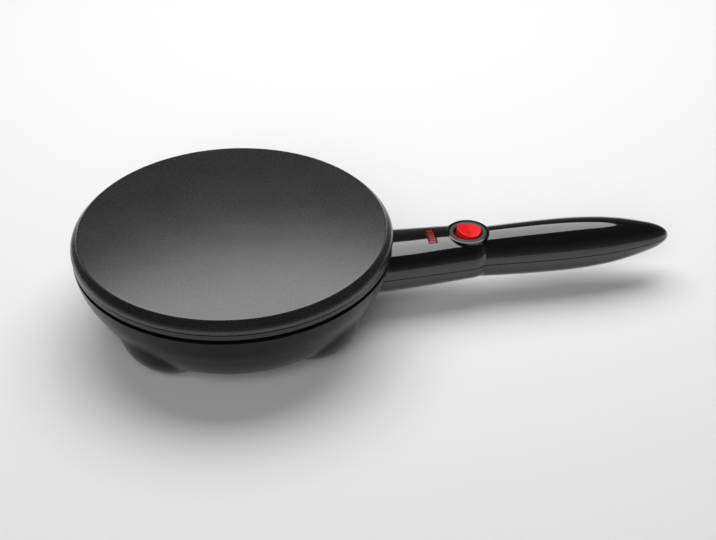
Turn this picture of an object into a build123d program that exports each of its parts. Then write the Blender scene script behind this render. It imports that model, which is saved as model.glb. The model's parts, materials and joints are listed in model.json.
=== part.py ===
from build123d import *
import os
from math import cos, pi, radians, sin, sqrt, tan

# An electric dip-type crepe maker: a domed hot plate in a footed bowl, with a long hollow
# handle that carries the switch.  Millimetres, +Z up, +X towards the handle's tip.  The origin
# lies on the table, in the middle of the length; the plate's axis stands at x = AXIS_X.

# ---- Overall sizes -------------------------------------------------------------------------
PLATE_RADIUS = 100.0        # cooking surface
RIM_RADIUS = 104.5          # widest ring of the plate's skirt
HANDLE_REACH = 300.0        # plate axis to handle tip
SURFACE_Z = 70.0            # edge of the cooking surface above the table
DOME_RISE = 4.0             # how far the surface's middle stands above its edge
AXIS_X = (RIM_RADIUS - HANDLE_REACH) / 2

# ---- Cooking plate -------------------------------------------------------------------------
PLATE_WALL = 4.0
PLATE_STEP = 2.0            # dark step round the cooking surface
SHOULDER_FLAT = 1.3         # flat ring outside the step
SKIRT_DEPTH = 9.0           # cooking edge down to the skirt's lower edge
SKIRT_WALL = 3.5
SKIRT_Z = SURFACE_Z - SKIRT_DEPTH
CROWN_Z = SURFACE_Z + DOME_RISE
DOME_RADIUS = (PLATE_RADIUS ** 2 + DOME_RISE ** 2) / (2 * DOME_RISE)
PILOT_RADIUS = 1.5          # pilot holes of the plate's screws
THREAD_FIT = 0.02           # a screw's thread clears its pilot hole by this much
PASS_FIT = 0.3              # a screw's shank clears the parts it holds

# ---- Heating element -----------------------------------------------------------------------
ELEMENT_CIRCLE = 66.0       # radius of the heated ring
ELEMENT_RADIUS = 3.3
ELEMENT_SINK = 0.15         # clearance of the cast groove
ELEMENT_DROP = 5.2          # ring's centre below the cooking edge
ELEMENT_Z = SURFACE_Z - ELEMENT_DROP
ELEMENT_GAP = 20.0          # half the angle left open for the cold ends, degrees
ELEMENT_BEND = 8.0
ELEMENT_TAIL = 3.0          # straight cold end under the bend
SEAL_RADIUS = 2.8
SEAL_LENGTH = 2.5
PIN_RADIUS = 1.0
PIN_LENGTH = 7.0
CLAMP_SPREAD = 7.4          # clamp rivets either side of the element's centre line
CLAMP_WIDTH = 8.0
STRAP_THICKNESS = 1.0
RIVET_RADIUS = 1.3
RIVET_HEAD = 2.4
RIVET_HEAD_HEIGHT = 1.2
RIVET_DEPTH = 5.0

# ---- Thermostat and thermal fuse -----------------------------------------------------------
THERMOSTAT_RADIUS = 9.5
THERMOSTAT_HEIGHT = 8.5
THERMOSTAT_PAD = 11.0       # radius of the cast seat under the crown
THERMOSTAT_SEAT_Z = SURFACE_Z - 2.5
THERMOSTAT_SCREWS = 16.0    # strap screws either side of the axis
STRAP_BOSS = 3.5
TAB_WIDTH = 6.3
TAB_THICKNESS = 0.8
THERMOSTAT_TAB = 8.0
FUSE_OFFSET = 30.0          # fuse centre line from the plate axis
FUSE_RADIUS = 2.0
FUSE_LENGTH = 14.0
FUSE_SEAT_Z = SURFACE_Z - 6.0
FUSE_SCREW_OFFSET = 7.0
FUSE_PAD = 4.0
EARTH_POINT = (-40.0, -14.0)
EARTH_BOSS = 4.0
EARTH_SEAT_Z = SURFACE_Z - 8.0
RING_TERMINAL = 3.6

# ---- Rim collar ----------------------------------------------------------------------------
COLLAR_RADIUS = 104.0
COLLAR_FLANGE = 3.0
SHADOW_GAP = 3.0            # open groove between the collar and the bowl
COLLAR_NECK = 98.5          # radius at the bottom of the groove
COLLAR_WALL = 2.5
COLLAR_FOOT = 2.5
COLLAR_FIT = 1.2            # foot inside the bowl's tapering wall

# ---- Bowl ----------------------------------------------------------------------------------
BOWL_RADIUS = 104.0
BOWL_WALL = 2.6
BOWL_TOP_Z = SKIRT_Z - COLLAR_FLANGE - SHADOW_GAP
BOWL_FLOOR_Z = 9.0          # underside of the flat floor
BOWL_FLAT = 64.0            # radius of the flat floor
# how far the wall has come in from the top edge, at each share of the bowl's depth
BOWL_SHAPE = ((0.0, 0.0), (2.1, 0.217), (6.8, 0.435), (12.5, 0.652), (18.3, 0.826), (27.0, 0.945))
LEDGE_DEPTH = 4.0           # collar's ledge below the top edge
LEDGE_WIDTH = 4.4
LEDGE_HEIGHT = 3.0
FOOT_CIRCLE = 61.3          # four lobes, each part of a ball
FOOT_BALL = 34.4
FOOT_CENTRE_Z = SURFACE_Z - 36.7
FOOT_COUNT = 4
PAD_THICKNESS = 1.5
PAD_RADIUS = 11.5
PAD_PEG = 2.5
PEG_FIT = 0.1
POST_CIRCLE = 48.0
POST_RADIUS = 5.5
POST_SPIGOT = 4.2           # narrow top of each post, through the heat shield
POST_GAP = 0.4              # plate boss above the post's top
PLATE_BOSS = 5.0
PLATE_BOSS_DROP = 12.0      # cooking edge down to the bosses' ends
PLATE_SCREW_HEAD = 3.4
PLATE_SCREW_HEAD_HEIGHT = 2.4
PLATE_SCREW_SEAT_Z = 40.0
PLATE_SCREW_BITE = 6.0

# ---- Heat shield ---------------------------------------------------------------------------
SHIELD_Z = 50.0
SHIELD_THICKNESS = 0.8
SHIELD_RADIUS = 92.0
SHIELD_RIM = 5.0
SHIELD_FIT = 0.3
SHIELD_WINDOW = (14.0, 46.0)
SHIELD_EYE = 9.0            # round hole for the thermostat leads
SHIELD_EYE_OFFSET = -27.0

# ---- Lift-off coupler under the bowl -------------------------------------------------------
COUPLER_RADIUS = 18.5       # guide bore at the mouth
COUPLER_GUIDE = 5.0
COUPLER_INNER = 16.5        # deeper bore round the contacts
COUPLER_DEPTH = 16.0        # mouth to the housing's inner face
COUPLER_WALL = 2.6
COUPLER_TOP = 2.0
COUPLER_FLANGE = 29.0
COUPLER_FLANGE_THICKNESS = 2.5
COUPLER_SEAT = 4.0          # thickness of the bowl's raised ring
COUPLER_FIT = 0.3
COUPLER_SCREW_CIRCLE = 25.2
EARTH_PIN_RADIUS = 2.4
EARTH_PIN_RECESS = 6.0      # contacts stand back this far from the mouth
NEUTRAL_RING = 7.0
LIVE_RING = 12.0
RING_THICKNESS = 0.8
RING_RECESS = 7.0
TAB_RISE = 6.0
SLOT_FIT = 0.1
SMALL_SCREW_RADIUS = 1.2
SMALL_SCREW_HEAD = 2.4
SMALL_SCREW_HEAD_HEIGHT = 1.6
SMALL_SCREW_BITE = 3.0
CONNECTOR_SIZE = (7.8, 2.8, 9.0)

# ---- Handle --------------------------------------------------------------------------------
SEAM_Z = SURFACE_Z - 38.6   # the two shells part here; also the grip's axis
SEAM_GAP = 0.4
HANDLE_WALL = 2.2
LIP_HEIGHT = 1.6            # half-lap of the two shells along the seam
LIP_FIT = 0.15
ROOT_S = 82.0               # distances called S are measured from the plate's axis
SHOULDER_S = 167.0
SQUARENESS = 2.6            # superellipse exponent of the neck's section above the seam
LOWER_SQUARENESS = 2.0      # and below it
# neck stations: share of the neck's length, half width, height above and depth below the seam
NECK_STATIONS = (
    (0.0, 25.0, 18.6, 19.5),
    (0.43, 22.9, 17.6, 18.6),
    (0.8, 20.9, 17.0, 16.8),
    (1.0, 19.7, 16.6, 15.8),
)
SHOULDER_ROUND = 3.0        # how far the shoulder falls
SHOULDER_LENGTH = 8.5       # and over what length
GRIP_OVERLAP = 3.0          # grip carried on into the shoulder
# grip stations: share of the way from the shoulder to the tip, radius
GRIP_STATIONS = ((0.0, 16.3), (0.11, 17.1), (0.32, 17.85), (0.49, 17.8), (0.64, 16.5), (0.745, 14.5),
                 (0.853, 11.2), (0.917, 8.8), (0.968, 5.7))
TURRET_S = 157.6
TURRET_Z = 49.2             # rim of the switch turret
TURRET_RADIUS = 14.6
TURRET_BASE = 9.8
TURRET_BASE_Z = 34.0
TURRET_CHAMFER = 0.5
TURRET_RECESS = 13.2
RECESS_DEPTH = 2.4
SWITCH_LEDGE = 2.0

HANDLE_SCREWS = (184.0, 222.0, 262.0)
HANDLE_BOSS = 3.8
HANDLE_SCREW_HEAD = 2.8
HANDLE_SCREW_SEAT = 7.0     # screw seat below the seam
HANDLE_SCREW_BITE = 8.0

TANG_WIDTH = 18.0
TANG_THICKNESS = 2.0
TANG_Z = 22.6               # underside of the steel tang that joins handle and bowl
TANG_START_S = 66.0
TANG_END_S = 132.0
TANG_FIT = 0.3
TANG_SCREWS = (72.0, 112.0, 127.0)
TANG_BOSS = 5.0
PASSAGE = (18.0, 10.0)      # opening for the leads through the bowl wall
PASSAGE_Z = 34.0

# ---- Switch --------------------------------------------------------------------------------
BEZEL_RADIUS = 12.7
BEZEL_THICKNESS = 2.2
SWITCH_BODY = 10.8
SWITCH_BORE_FIT = 0.15
SWITCH_BASE = 9.0
SWITCH_STEP_Z = 40.6
SWITCH_FLOOR_Z = 33.0
SWITCH_WALL = 1.5
ROCKER_RADIUS = 8.3
ROCKER_MOUTH = 9.35
ROCKER_PIVOT_Z = 46.4
ROCKER_HEIGHT = 5.0         # ends above the pivot
ROCKER_DIP = 1.5            # the middle lies this much lower than the ends
ROCKER_DEPTH = 2.6          # disc below the pivot
ROCKER_TRAVEL = 16.0        # degrees between the two positions
TRUNNION_RADIUS = 1.3
TRUNNION_FIT = 0.05
TRUNNION_REACH = 9.9
STEM_RADIUS = 2.4
STEM_BORE = 1.5
STEM_LENGTH = 6.4           # below the pivot
PLUNGER_RADIUS = 1.2
PLUNGER_LENGTH = 4.4
PLUNGER_STANDOUT = 2.5
SPRING_WIRE = 0.25
BLADE_LENGTH = 12.0
BLADE_WIDTH = 4.0
BLADE_THICKNESS = 0.6
BLADE_TRAVEL = 10.0         # degrees, opposite to the rocker
BLADE_PIVOT_Z = 36.6
TERMINAL_PITCH = 5.0
TERMINAL_WIDTH = 4.0
TERMINAL_DROP = 7.0         # tabs below the switch's floor
CONTACT_RADIUS = 1.5
CONTACT_HEIGHT = 0.5

# ---- Pilot lamp ----------------------------------------------------------------------------
WINDOW_S = 132.2
WINDOW_SIZE = (6.2, 17.6)
LENS_FIT = 0.15
LENS_PROUD = 0.5
LENS_LIP = 1.2
LENS_LIP_THICKNESS = 1.0
LAMP_RADIUS = 2.6
LAMP_LENGTH = 13.0
LAMP_HOLDER_WALL = 1.2
LAMP_HOLDER_LENGTH = 9.0
LAMP_DROP = 1.0             # holder below the lens flange

# ---- Leads ---------------------------------------------------------------------------------
WIRE_RADIUS = 1.2
WIRE_BEND = 12.0            # largest bend radius
BEND_SHARE = 0.45           # each bend takes up to this share of its shorter run

os.makedirs("parts", exist_ok=True)


def at(s, y=0.0, z=0.0):
    """A point given by its distance from the plate's axis."""
    return (AXIS_X + s, y, z)


PLATE_AXIS = Axis(at(0), (0, 0, 1))
PLATE_SIDE = Plane(at(0), x_dir=(1, 0, 0), z_dir=(0, -1, 0))


def level(z, s=0.0, y=0.0):
    """A horizontal plane at height z, centred s along the handle."""
    return Plane(at(s, y, z), x_dir=(1, 0, 0), z_dir=(0, 0, 1))


def dome(radius, drop=0.0):
    """Height of the cooking surface at a radius, or of a surface `drop` below it."""
    return CROWN_Z - drop - DOME_RADIUS + sqrt(DOME_RADIUS ** 2 - radius ** 2)


def round_bar(radius, low, high, s=0.0, y=0.0):
    """An upright round bar, for use inside a sub-part."""
    with BuildSketch(level(low, s, y)) as disc:
        Circle(radius)
    extrude(disc.sketch, amount=high - low)


def drill(radius, low, high, s=0.0, y=0.0):
    """An upright round hole from `low` to `high`."""
    with BuildSketch(level(low, s, y)) as disc:
        Circle(radius)
    extrude(disc.sketch, amount=high - low, mode=Mode.SUBTRACT)


def around(count, circle, start=0.0):
    """Points spaced evenly round the plate's axis."""
    angles = [radians(start + 360 * i / count) for i in range(count)]
    return [(circle * cos(a), circle * sin(a)) for a in angles]


def screw(low, head_radius, head_height, shank_radius, length, points):
    """Pan-head screws with their heads at the bottom, as a group of separate solids."""
    with BuildPart() as group:
        for s, y in points:
            round_bar(head_radius, low, low + head_height, s, y)
            round_bar(shank_radius, low + head_height, low + head_height + length, s, y)
        heads = group.faces().filter_by(Axis.Z).group_by(Axis.Z)[0]
        chamfer(heads.edges(), length=head_height / 4)
    return group.part


def keep(part, name):
    """Label one finished sub-part and write it."""
    part.label = name
    export_step(part, f"parts/{name}.step")


# ============================================================================================
# Cooking plate: domed aluminium casting with its skirt, element groove and screw bosses
# ============================================================================================
STEP_Z = SURFACE_Z - PLATE_STEP
SHOULDER_START = PLATE_RADIUS + SHOULDER_FLAT
SHOULDER_FALL = RIM_RADIUS - SHOULDER_START
SKIRT_INNER = RIM_RADIUS - SKIRT_WALL
UNDER_RADIUS = SKIRT_INNER - SKIRT_WALL
ROOT_DEPTH = PLATE_WALL / 4          # cast bosses merge this far into the wall
PAD_INNER = ELEMENT_CIRCLE - CLAMP_SPREAD - RIVET_HEAD - ROOT_DEPTH
PAD_OUTER = ELEMENT_CIRCLE + CLAMP_SPREAD + RIVET_HEAD + ROOT_DEPTH
STRAP_TOP = ELEMENT_Z - ELEMENT_RADIUS
CLAMP_AZIMUTHS = (90.0, 180.0, 270.0)
POSTS = around(4, POST_CIRCLE)
BOSS_END_Z = SURFACE_Z - PLATE_BOSS_DROP
PLATE_SCREW_TIP = BOSS_END_Z + PLATE_SCREW_BITE
THERMOSTAT_BASE_Z = THERMOSTAT_SEAT_Z - THERMOSTAT_HEIGHT
FUSE_STRAP_TOP = FUSE_SEAT_Z - 2 * FUSE_RADIUS
FUSE_SCREW_Y = FUSE_OFFSET + FUSE_SCREW_OFFSET

clamp_points = []
for azimuth in CLAMP_AZIMUTHS:
    for radius in (ELEMENT_CIRCLE - CLAMP_SPREAD, ELEMENT_CIRCLE + CLAMP_SPREAD):
        clamp_points.append((radius * cos(radians(azimuth)), radius * sin(radians(azimuth))))

with BuildPart() as cooking_plate:
    with BuildSketch(PLATE_SIDE):
        with BuildLine():
            ThreePointArc((0, CROWN_Z), (PLATE_RADIUS / 2, dome(PLATE_RADIUS / 2)), (PLATE_RADIUS, SURFACE_Z))
            Polyline((PLATE_RADIUS, SURFACE_Z), (PLATE_RADIUS + SHOULDER_FLAT / 3, STEP_Z), (SHOULDER_START, STEP_Z))
            ThreePointArc(
                (SHOULDER_START, STEP_Z),
                (SHOULDER_START + SHOULDER_FALL * sin(pi / 4), STEP_Z - SHOULDER_FALL * (1 - cos(pi / 4))),
                (RIM_RADIUS, STEP_Z - SHOULDER_FALL),
            )
            Polyline(
                (RIM_RADIUS, STEP_Z - SHOULDER_FALL),
                (RIM_RADIUS, SKIRT_Z + SKIRT_WALL / 5),
                (RIM_RADIUS - SKIRT_WALL / 5, SKIRT_Z),
                (SKIRT_INNER, SKIRT_Z),
                (SKIRT_INNER, STEP_Z - PLATE_WALL),
                (UNDER_RADIUS, dome(UNDER_RADIUS, PLATE_WALL)),
            )
            ThreePointArc(
                (UNDER_RADIUS, dome(UNDER_RADIUS, PLATE_WALL)),
                (UNDER_RADIUS / 2, dome(UNDER_RADIUS / 2, PLATE_WALL)),
                (0, CROWN_Z - PLATE_WALL),
            )
            Line((0, CROWN_Z - PLATE_WALL), (0, CROWN_Z))
        make_face()
    revolve(axis=PLATE_AXIS)
    with BuildSketch(PLATE_SIDE):
        with BuildLine():
            Polyline(
                (PAD_INNER, ELEMENT_Z),
                (PAD_OUTER, ELEMENT_Z),
                (PAD_OUTER, dome(PAD_OUTER, PLATE_WALL - ROOT_DEPTH)),
                (PAD_INNER, dome(PAD_INNER, PLATE_WALL - ROOT_DEPTH)),
                close=True,
            )
        make_face()
    revolve(axis=PLATE_AXIS)
    for s, y in clamp_points:
        round_bar(RIVET_HEAD, STRAP_TOP, ELEMENT_Z + ROOT_DEPTH, s, y)
    with BuildSketch(PLATE_SIDE):
        with Locations((ELEMENT_CIRCLE, ELEMENT_Z)):
            Circle(ELEMENT_RADIUS + ELEMENT_SINK)
    revolve(axis=PLATE_AXIS, mode=Mode.SUBTRACT)
    for s, y in POSTS:
        round_bar(PLATE_BOSS, BOSS_END_Z, dome(POST_CIRCLE, PLATE_WALL - ROOT_DEPTH), s, y)
        drill(PILOT_RADIUS, BOSS_END_Z, PLATE_SCREW_TIP + PILOT_RADIUS, s, y)
    round_bar(THERMOSTAT_PAD, THERMOSTAT_SEAT_Z, CROWN_Z - PLATE_WALL + ROOT_DEPTH)
    for side in (-1, 1):
        boss_top = dome(THERMOSTAT_SCREWS, PLATE_WALL - ROOT_DEPTH)
        round_bar(STRAP_BOSS, THERMOSTAT_BASE_Z, boss_top, 0, side * THERMOSTAT_SCREWS)
        drill(SMALL_SCREW_RADIUS, THERMOSTAT_BASE_Z, THERMOSTAT_BASE_Z + SMALL_SCREW_BITE, 0, side * THERMOSTAT_SCREWS)
    round_bar(FUSE_PAD, FUSE_SEAT_Z, dome(FUSE_OFFSET, PLATE_WALL - ROOT_DEPTH), 0, FUSE_OFFSET)
    round_bar(STRAP_BOSS, FUSE_STRAP_TOP, dome(FUSE_SCREW_Y, PLATE_WALL - ROOT_DEPTH), 0, FUSE_SCREW_Y)
    drill(SMALL_SCREW_RADIUS, FUSE_STRAP_TOP, FUSE_STRAP_TOP + SMALL_SCREW_BITE, 0, FUSE_SCREW_Y)
    round_bar(EARTH_BOSS, EARTH_SEAT_Z, dome(EARTH_BOSS, PLATE_WALL) - PLATE_WALL / 8, *EARTH_POINT)
    drill(SMALL_SCREW_RADIUS, EARTH_SEAT_Z, EARTH_SEAT_Z + SMALL_SCREW_BITE, *EARTH_POINT)
    for s, y in clamp_points:
        drill(RIVET_RADIUS, STRAP_TOP, STRAP_TOP + RIVET_DEPTH, s, y)
keep(cooking_plate.part, "cooking_plate")

# ============================================================================================
# Heating element, its seals, pins, straps and rivets
# ============================================================================================
gap = radians(ELEMENT_GAP)
element_ends = []
for side in (-1, 1):
    start = Vector(ELEMENT_CIRCLE * cos(gap), side * ELEMENT_CIRCLE * sin(gap), ELEMENT_Z)
    along = Vector(sin(gap), -side * cos(gap), 0)
    element_ends.append((start, along))


def bend_point(start, along, turn):
    """A point on a cold end's bend, `turn` degrees after it leaves the ring."""
    angle = radians(turn)
    down = Vector(0, 0, -1)
    spot = start + along * (ELEMENT_BEND * sin(angle)) + down * (ELEMENT_BEND * (1 - cos(angle)))
    return at(spot.X, spot.Y, spot.Z)


with BuildPart() as heating_element:
    with BuildLine() as element_path:
        (start_low, along_low), (start_high, along_high) = element_ends
        tail_low = Vector(bend_point(start_low, along_low, 90))
        tail_high = Vector(bend_point(start_high, along_high, 90))
        Line(tail_high - Vector(0, 0, ELEMENT_TAIL), tail_high)
        ThreePointArc(
            tail_high, bend_point(start_high, along_high, 45), bend_point(start_high, along_high, 0)
        )
        ThreePointArc(bend_point(start_high, along_high, 0), at(-ELEMENT_CIRCLE, 0, ELEMENT_Z),
                      bend_point(start_low, along_low, 0))
        ThreePointArc(bend_point(start_low, along_low, 0), bend_point(start_low, along_low, 45), tail_low)
        Line(tail_low, tail_low - Vector(0, 0, ELEMENT_TAIL))
    with BuildSketch(Plane(element_path.line @ 0, z_dir=(0, 0, 1))):
        Circle(ELEMENT_RADIUS)
    sweep()
keep(heating_element.part, "heating_element")

TAIL_Z = ELEMENT_Z - ELEMENT_BEND - ELEMENT_TAIL
tail_spots = [(tail.X - AXIS_X, tail.Y) for tail in (tail_low, tail_high)]

with BuildPart() as element_seals:
    for s, y in tail_spots:
        round_bar(SEAL_RADIUS, TAIL_Z - SEAL_LENGTH, TAIL_Z, s, y)
keep(element_seals.part, "element_seals")

PIN_END_Z = TAIL_Z - SEAL_LENGTH - PIN_LENGTH
with BuildPart() as element_pins:
    for s, y in tail_spots:
        round_bar(PIN_RADIUS, PIN_END_Z, TAIL_Z - SEAL_LENGTH, s, y)
keep(element_pins.part, "element_pins")

with BuildPart() as element_clamps:
    for azimuth in CLAMP_AZIMUTHS:
        spot = level(STRAP_TOP - STRAP_THICKNESS).rotated((0, 0, azimuth))
        with BuildSketch(spot):
            with Locations((ELEMENT_CIRCLE, 0)):
                Rectangle(2 * (CLAMP_SPREAD + RIVET_HEAD), CLAMP_WIDTH)
            with Locations((ELEMENT_CIRCLE - CLAMP_SPREAD, 0), (ELEMENT_CIRCLE + CLAMP_SPREAD, 0)):
                Circle(RIVET_RADIUS + PASS_FIT, mode=Mode.SUBTRACT)
        extrude(amount=STRAP_THICKNESS)
keep(element_clamps.part, "element_clamps")

keep(
    screw(STRAP_TOP - STRAP_THICKNESS - RIVET_HEAD_HEIGHT, RIVET_HEAD, RIVET_HEAD_HEIGHT,
          RIVET_RADIUS - THREAD_FIT, STRAP_THICKNESS + RIVET_DEPTH - RIVET_HEAD_HEIGHT, clamp_points),
    "clamp_rivets",
)

# ============================================================================================
# Thermostat and thermal fuse, held against the plate by sprung straps
# ============================================================================================
with BuildPart() as thermostat:
    round_bar(THERMOSTAT_RADIUS, THERMOSTAT_BASE_Z, THERMOSTAT_SEAT_Z)
    chamfer(thermostat.faces().sort_by(Axis.Z)[-1].edges(), length=TAB_THICKNESS)
    with BuildSketch(level(THERMOSTAT_BASE_Z + 2 * TAB_THICKNESS)):
        Rectangle(2 * (THERMOSTAT_RADIUS + THERMOSTAT_TAB), TAB_WIDTH)
    extrude(amount=TAB_THICKNESS)
keep(thermostat.part, "thermostat")

with BuildPart() as thermostat_strap:
    with BuildSketch(level(THERMOSTAT_BASE_Z - STRAP_THICKNESS)):
        SlotCenterToCenter(2 * THERMOSTAT_SCREWS, 2 * STRAP_BOSS, rotation=90)
        with Locations((0, -THERMOSTAT_SCREWS), (0, THERMOSTAT_SCREWS)):
            Circle(SMALL_SCREW_RADIUS + PASS_FIT, mode=Mode.SUBTRACT)
    extrude(amount=STRAP_THICKNESS)
keep(thermostat_strap.part, "thermostat_strap")

with BuildPart() as thermal_fuse:
    with BuildSketch(Plane(at(-FUSE_LENGTH / 2, FUSE_OFFSET, FUSE_SEAT_Z - FUSE_RADIUS), z_dir=(1, 0, 0))):
        Circle(FUSE_RADIUS)
    extrude(amount=FUSE_LENGTH)
    chamfer(thermal_fuse.faces().filter_by(Axis.X).edges(), length=FUSE_RADIUS / 4)
keep(thermal_fuse.part, "thermal_fuse")

with BuildPart() as fuse_strap:
    strap_middle = FUSE_OFFSET + FUSE_SCREW_OFFSET / 2
    with BuildSketch(level(FUSE_STRAP_TOP - STRAP_THICKNESS)):
        with Locations((0, strap_middle)):
            SlotCenterToCenter(FUSE_SCREW_OFFSET + FUSE_RADIUS, 2 * STRAP_BOSS, rotation=90)
        with Locations((0, FUSE_SCREW_Y)):
            Circle(SMALL_SCREW_RADIUS + PASS_FIT, mode=Mode.SUBTRACT)
    extrude(amount=STRAP_THICKNESS)
keep(fuse_strap.part, "fuse_strap")

with BuildPart() as earth_terminal:
    with BuildSketch(level(EARTH_SEAT_Z - TAB_THICKNESS, *EARTH_POINT)):
        Circle(RING_TERMINAL)
        with Locations((2 * RING_TERMINAL, 0)):
            Rectangle(3 * RING_TERMINAL, RING_TERMINAL)
        Circle(SMALL_SCREW_RADIUS + PASS_FIT, mode=Mode.SUBTRACT)
    extrude(amount=TAB_THICKNESS)
keep(earth_terminal.part, "earth_terminal")

strap_screws = Compound(children=[
    screw(seat - SMALL_SCREW_HEAD_HEIGHT, SMALL_SCREW_HEAD, SMALL_SCREW_HEAD_HEIGHT,
          SMALL_SCREW_RADIUS - THREAD_FIT, thickness + SMALL_SCREW_BITE - SMALL_SCREW_HEAD_HEIGHT / 2, spots)
    for seat, thickness, spots in (
        (THERMOSTAT_BASE_Z - STRAP_THICKNESS, STRAP_THICKNESS, [(0, -THERMOSTAT_SCREWS), (0, THERMOSTAT_SCREWS)]),
        (FUSE_STRAP_TOP - STRAP_THICKNESS, STRAP_THICKNESS, [(0, FUSE_SCREW_Y)]),
        (EARTH_SEAT_Z - TAB_THICKNESS, TAB_THICKNESS, [EARTH_POINT]),
    )
])
keep(strap_screws, "strap_screws")

# ============================================================================================
# Rim collar: heat-resistant ring that carries the plate on the bowl and leaves the shadow gap
# ============================================================================================
COLLAR_LOW = BOWL_TOP_Z - LEDGE_DEPTH
COLLAR_INNER = COLLAR_NECK - COLLAR_WALL
BOWL_INNER = BOWL_RADIUS - BOWL_WALL
with BuildPart() as rim_collar:
    with BuildSketch(PLATE_SIDE):
        with BuildLine():
            Polyline(
                (COLLAR_INNER, SKIRT_Z),
                (COLLAR_RADIUS, SKIRT_Z),
                (COLLAR_RADIUS, SKIRT_Z - COLLAR_FLANGE),
                (COLLAR_NECK, SKIRT_Z - COLLAR_FLANGE),
                (COLLAR_NECK, COLLAR_LOW + COLLAR_FOOT),
                (BOWL_INNER - COLLAR_FIT, COLLAR_LOW + COLLAR_FOOT),
                (BOWL_INNER - COLLAR_FIT, COLLAR_LOW),
                (COLLAR_INNER, COLLAR_LOW),
                close=True,
            )
        make_face()
    revolve(axis=PLATE_AXIS)
keep(rim_collar.part, "rim_collar")


# ============================================================================================
# Bowl: footed shell with its ledge, posts and openings
# ============================================================================================
BOWL_DEPTH = BOWL_TOP_Z - BOWL_FLOOR_Z


def bowl_blank(inset):
    """The bowl as a full solid, or its cavity when `inset` is the wall."""
    feet = [Vector(s, y, 0) for s, y in around(FOOT_COUNT, FOOT_CIRCLE, 180 / FOOT_COUNT)]
    wall = [
        (BOWL_RADIUS - inset - step, BOWL_TOP_Z - share * (BOWL_DEPTH - inset)) for step, share in BOWL_SHAPE
    ]
    floor = BOWL_FLOOR_Z + inset
    with BuildPart() as blank:
        with BuildSketch(PLATE_SIDE):
            with BuildLine():
                Spline(*wall, (BOWL_FLAT, floor), tangents=[(-0.1, -1), (-1, 0)])
                Polyline((BOWL_FLAT, floor), (0, floor), (0, BOWL_TOP_Z), wall[0])
            make_face()
        revolve(axis=PLATE_AXIS)
        for foot in feet:
            ball = FOOT_BALL - inset
            low = PAD_THICKNESS + inset - FOOT_CENTRE_Z
            side = Plane(at(foot.X, foot.Y, FOOT_CENTRE_Z), x_dir=(1, 0, 0), z_dir=(0, -1, 0))
            flat = sqrt(ball ** 2 - low ** 2)
            with BuildSketch(side):
                with BuildLine():
                    ThreePointArc((ball, 0), (ball * cos(pi / 6), -ball * sin(pi / 6)), (flat, low))
                    Polyline((flat, low), (0, low), (0, 0), (ball, 0))
                make_face()
            revolve(axis=Axis(side.origin, (0, 0, 1)))
    return blank.part


FEET = around(FOOT_COUNT, FOOT_CIRCLE, 180 / FOOT_COUNT)
COUPLER_OUTER = COUPLER_RADIUS + COUPLER_WALL
COUPLER_SEAT_Z = BOWL_FLOOR_Z + COUPLER_SEAT
COUPLER_SCREWS = around(3, COUPLER_SCREW_CIRCLE, 60)
SCREW_HOLE = PILOT_RADIUS + PASS_FIT
TANG_TOP = TANG_Z + TANG_THICKNESS
SMALL_BITE_DEPTH = COUPLER_SEAT - 1.0
bowl_solid = bowl_blank(0.0)

with BuildPart() as bowl:
    add(bowl_solid)
    add(bowl_blank(BOWL_WALL), mode=Mode.SUBTRACT)
    # ledge under the collar
    with BuildSketch(PLATE_SIDE):
        with BuildLine():
            Polyline(
                (BOWL_INNER - LEDGE_WIDTH, COLLAR_LOW),
                (BOWL_INNER + BOWL_WALL / 2, COLLAR_LOW),
                (BOWL_INNER - BOWL_WALL / 2, COLLAR_LOW - LEDGE_HEIGHT - BOWL_WALL),
                (BOWL_INNER - LEDGE_WIDTH, COLLAR_LOW - LEDGE_HEIGHT),
                close=True,
            )
        make_face()
    revolve(axis=PLATE_AXIS)
    # posts for the plate's screws, reached from below
    for s, y in POSTS:
        round_bar(POST_RADIUS, BOWL_FLOOR_Z, SHIELD_Z, s, y)
        round_bar(POST_SPIGOT, SHIELD_Z, BOSS_END_Z - POST_GAP, s, y)
        drill(PLATE_SCREW_HEAD + PASS_FIT, BOWL_FLOOR_Z, PLATE_SCREW_SEAT_Z, s, y)
        drill(SCREW_HOLE, PLATE_SCREW_SEAT_Z, BOSS_END_Z, s, y)
    # raised seat and hole for the coupler
    round_bar(COUPLER_FLANGE, BOWL_FLOOR_Z, COUPLER_SEAT_Z)
    drill(COUPLER_OUTER + COUPLER_FIT, BOWL_FLOOR_Z, COUPLER_SEAT_Z)
    for s, y in COUPLER_SCREWS:
        drill(SMALL_SCREW_RADIUS, COUPLER_SEAT_Z - SMALL_BITE_DEPTH, COUPLER_SEAT_Z, s, y)
    # peg holes of the foot pads
    for s, y in FEET:
        drill(PAD_PEG + PEG_FIT, PAD_THICKNESS, PAD_THICKNESS + BOWL_WALL, s, y)
    # boss and slot for the handle's tang, and the leads' opening
    round_bar(TANG_BOSS, BOWL_FLOOR_Z + BOWL_WALL / 2, TANG_Z, TANG_SCREWS[0])
    drill(PILOT_RADIUS, TANG_Z - HANDLE_SCREW_BITE, TANG_Z, TANG_SCREWS[0])
    tang_slot_height = TANG_THICKNESS + 2 * TANG_FIT
    with BuildSketch(level(TANG_Z - TANG_FIT, BOWL_RADIUS - BOWL_WALL)):
        Rectangle(BOWL_RADIUS / 3, TANG_WIDTH + 2 * TANG_FIT)
    extrude(amount=tang_slot_height, mode=Mode.SUBTRACT)
    with BuildSketch(Plane(at(BOWL_RADIUS - BOWL_RADIUS / 6, 0, PASSAGE_Z), x_dir=(0, 1, 0), z_dir=(1, 0, 0))):
        RectangleRounded(*PASSAGE, radius=PASSAGE[1] / 4)
    extrude(amount=BOWL_RADIUS / 3, mode=Mode.SUBTRACT)
keep(bowl.part, "bowl")

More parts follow.
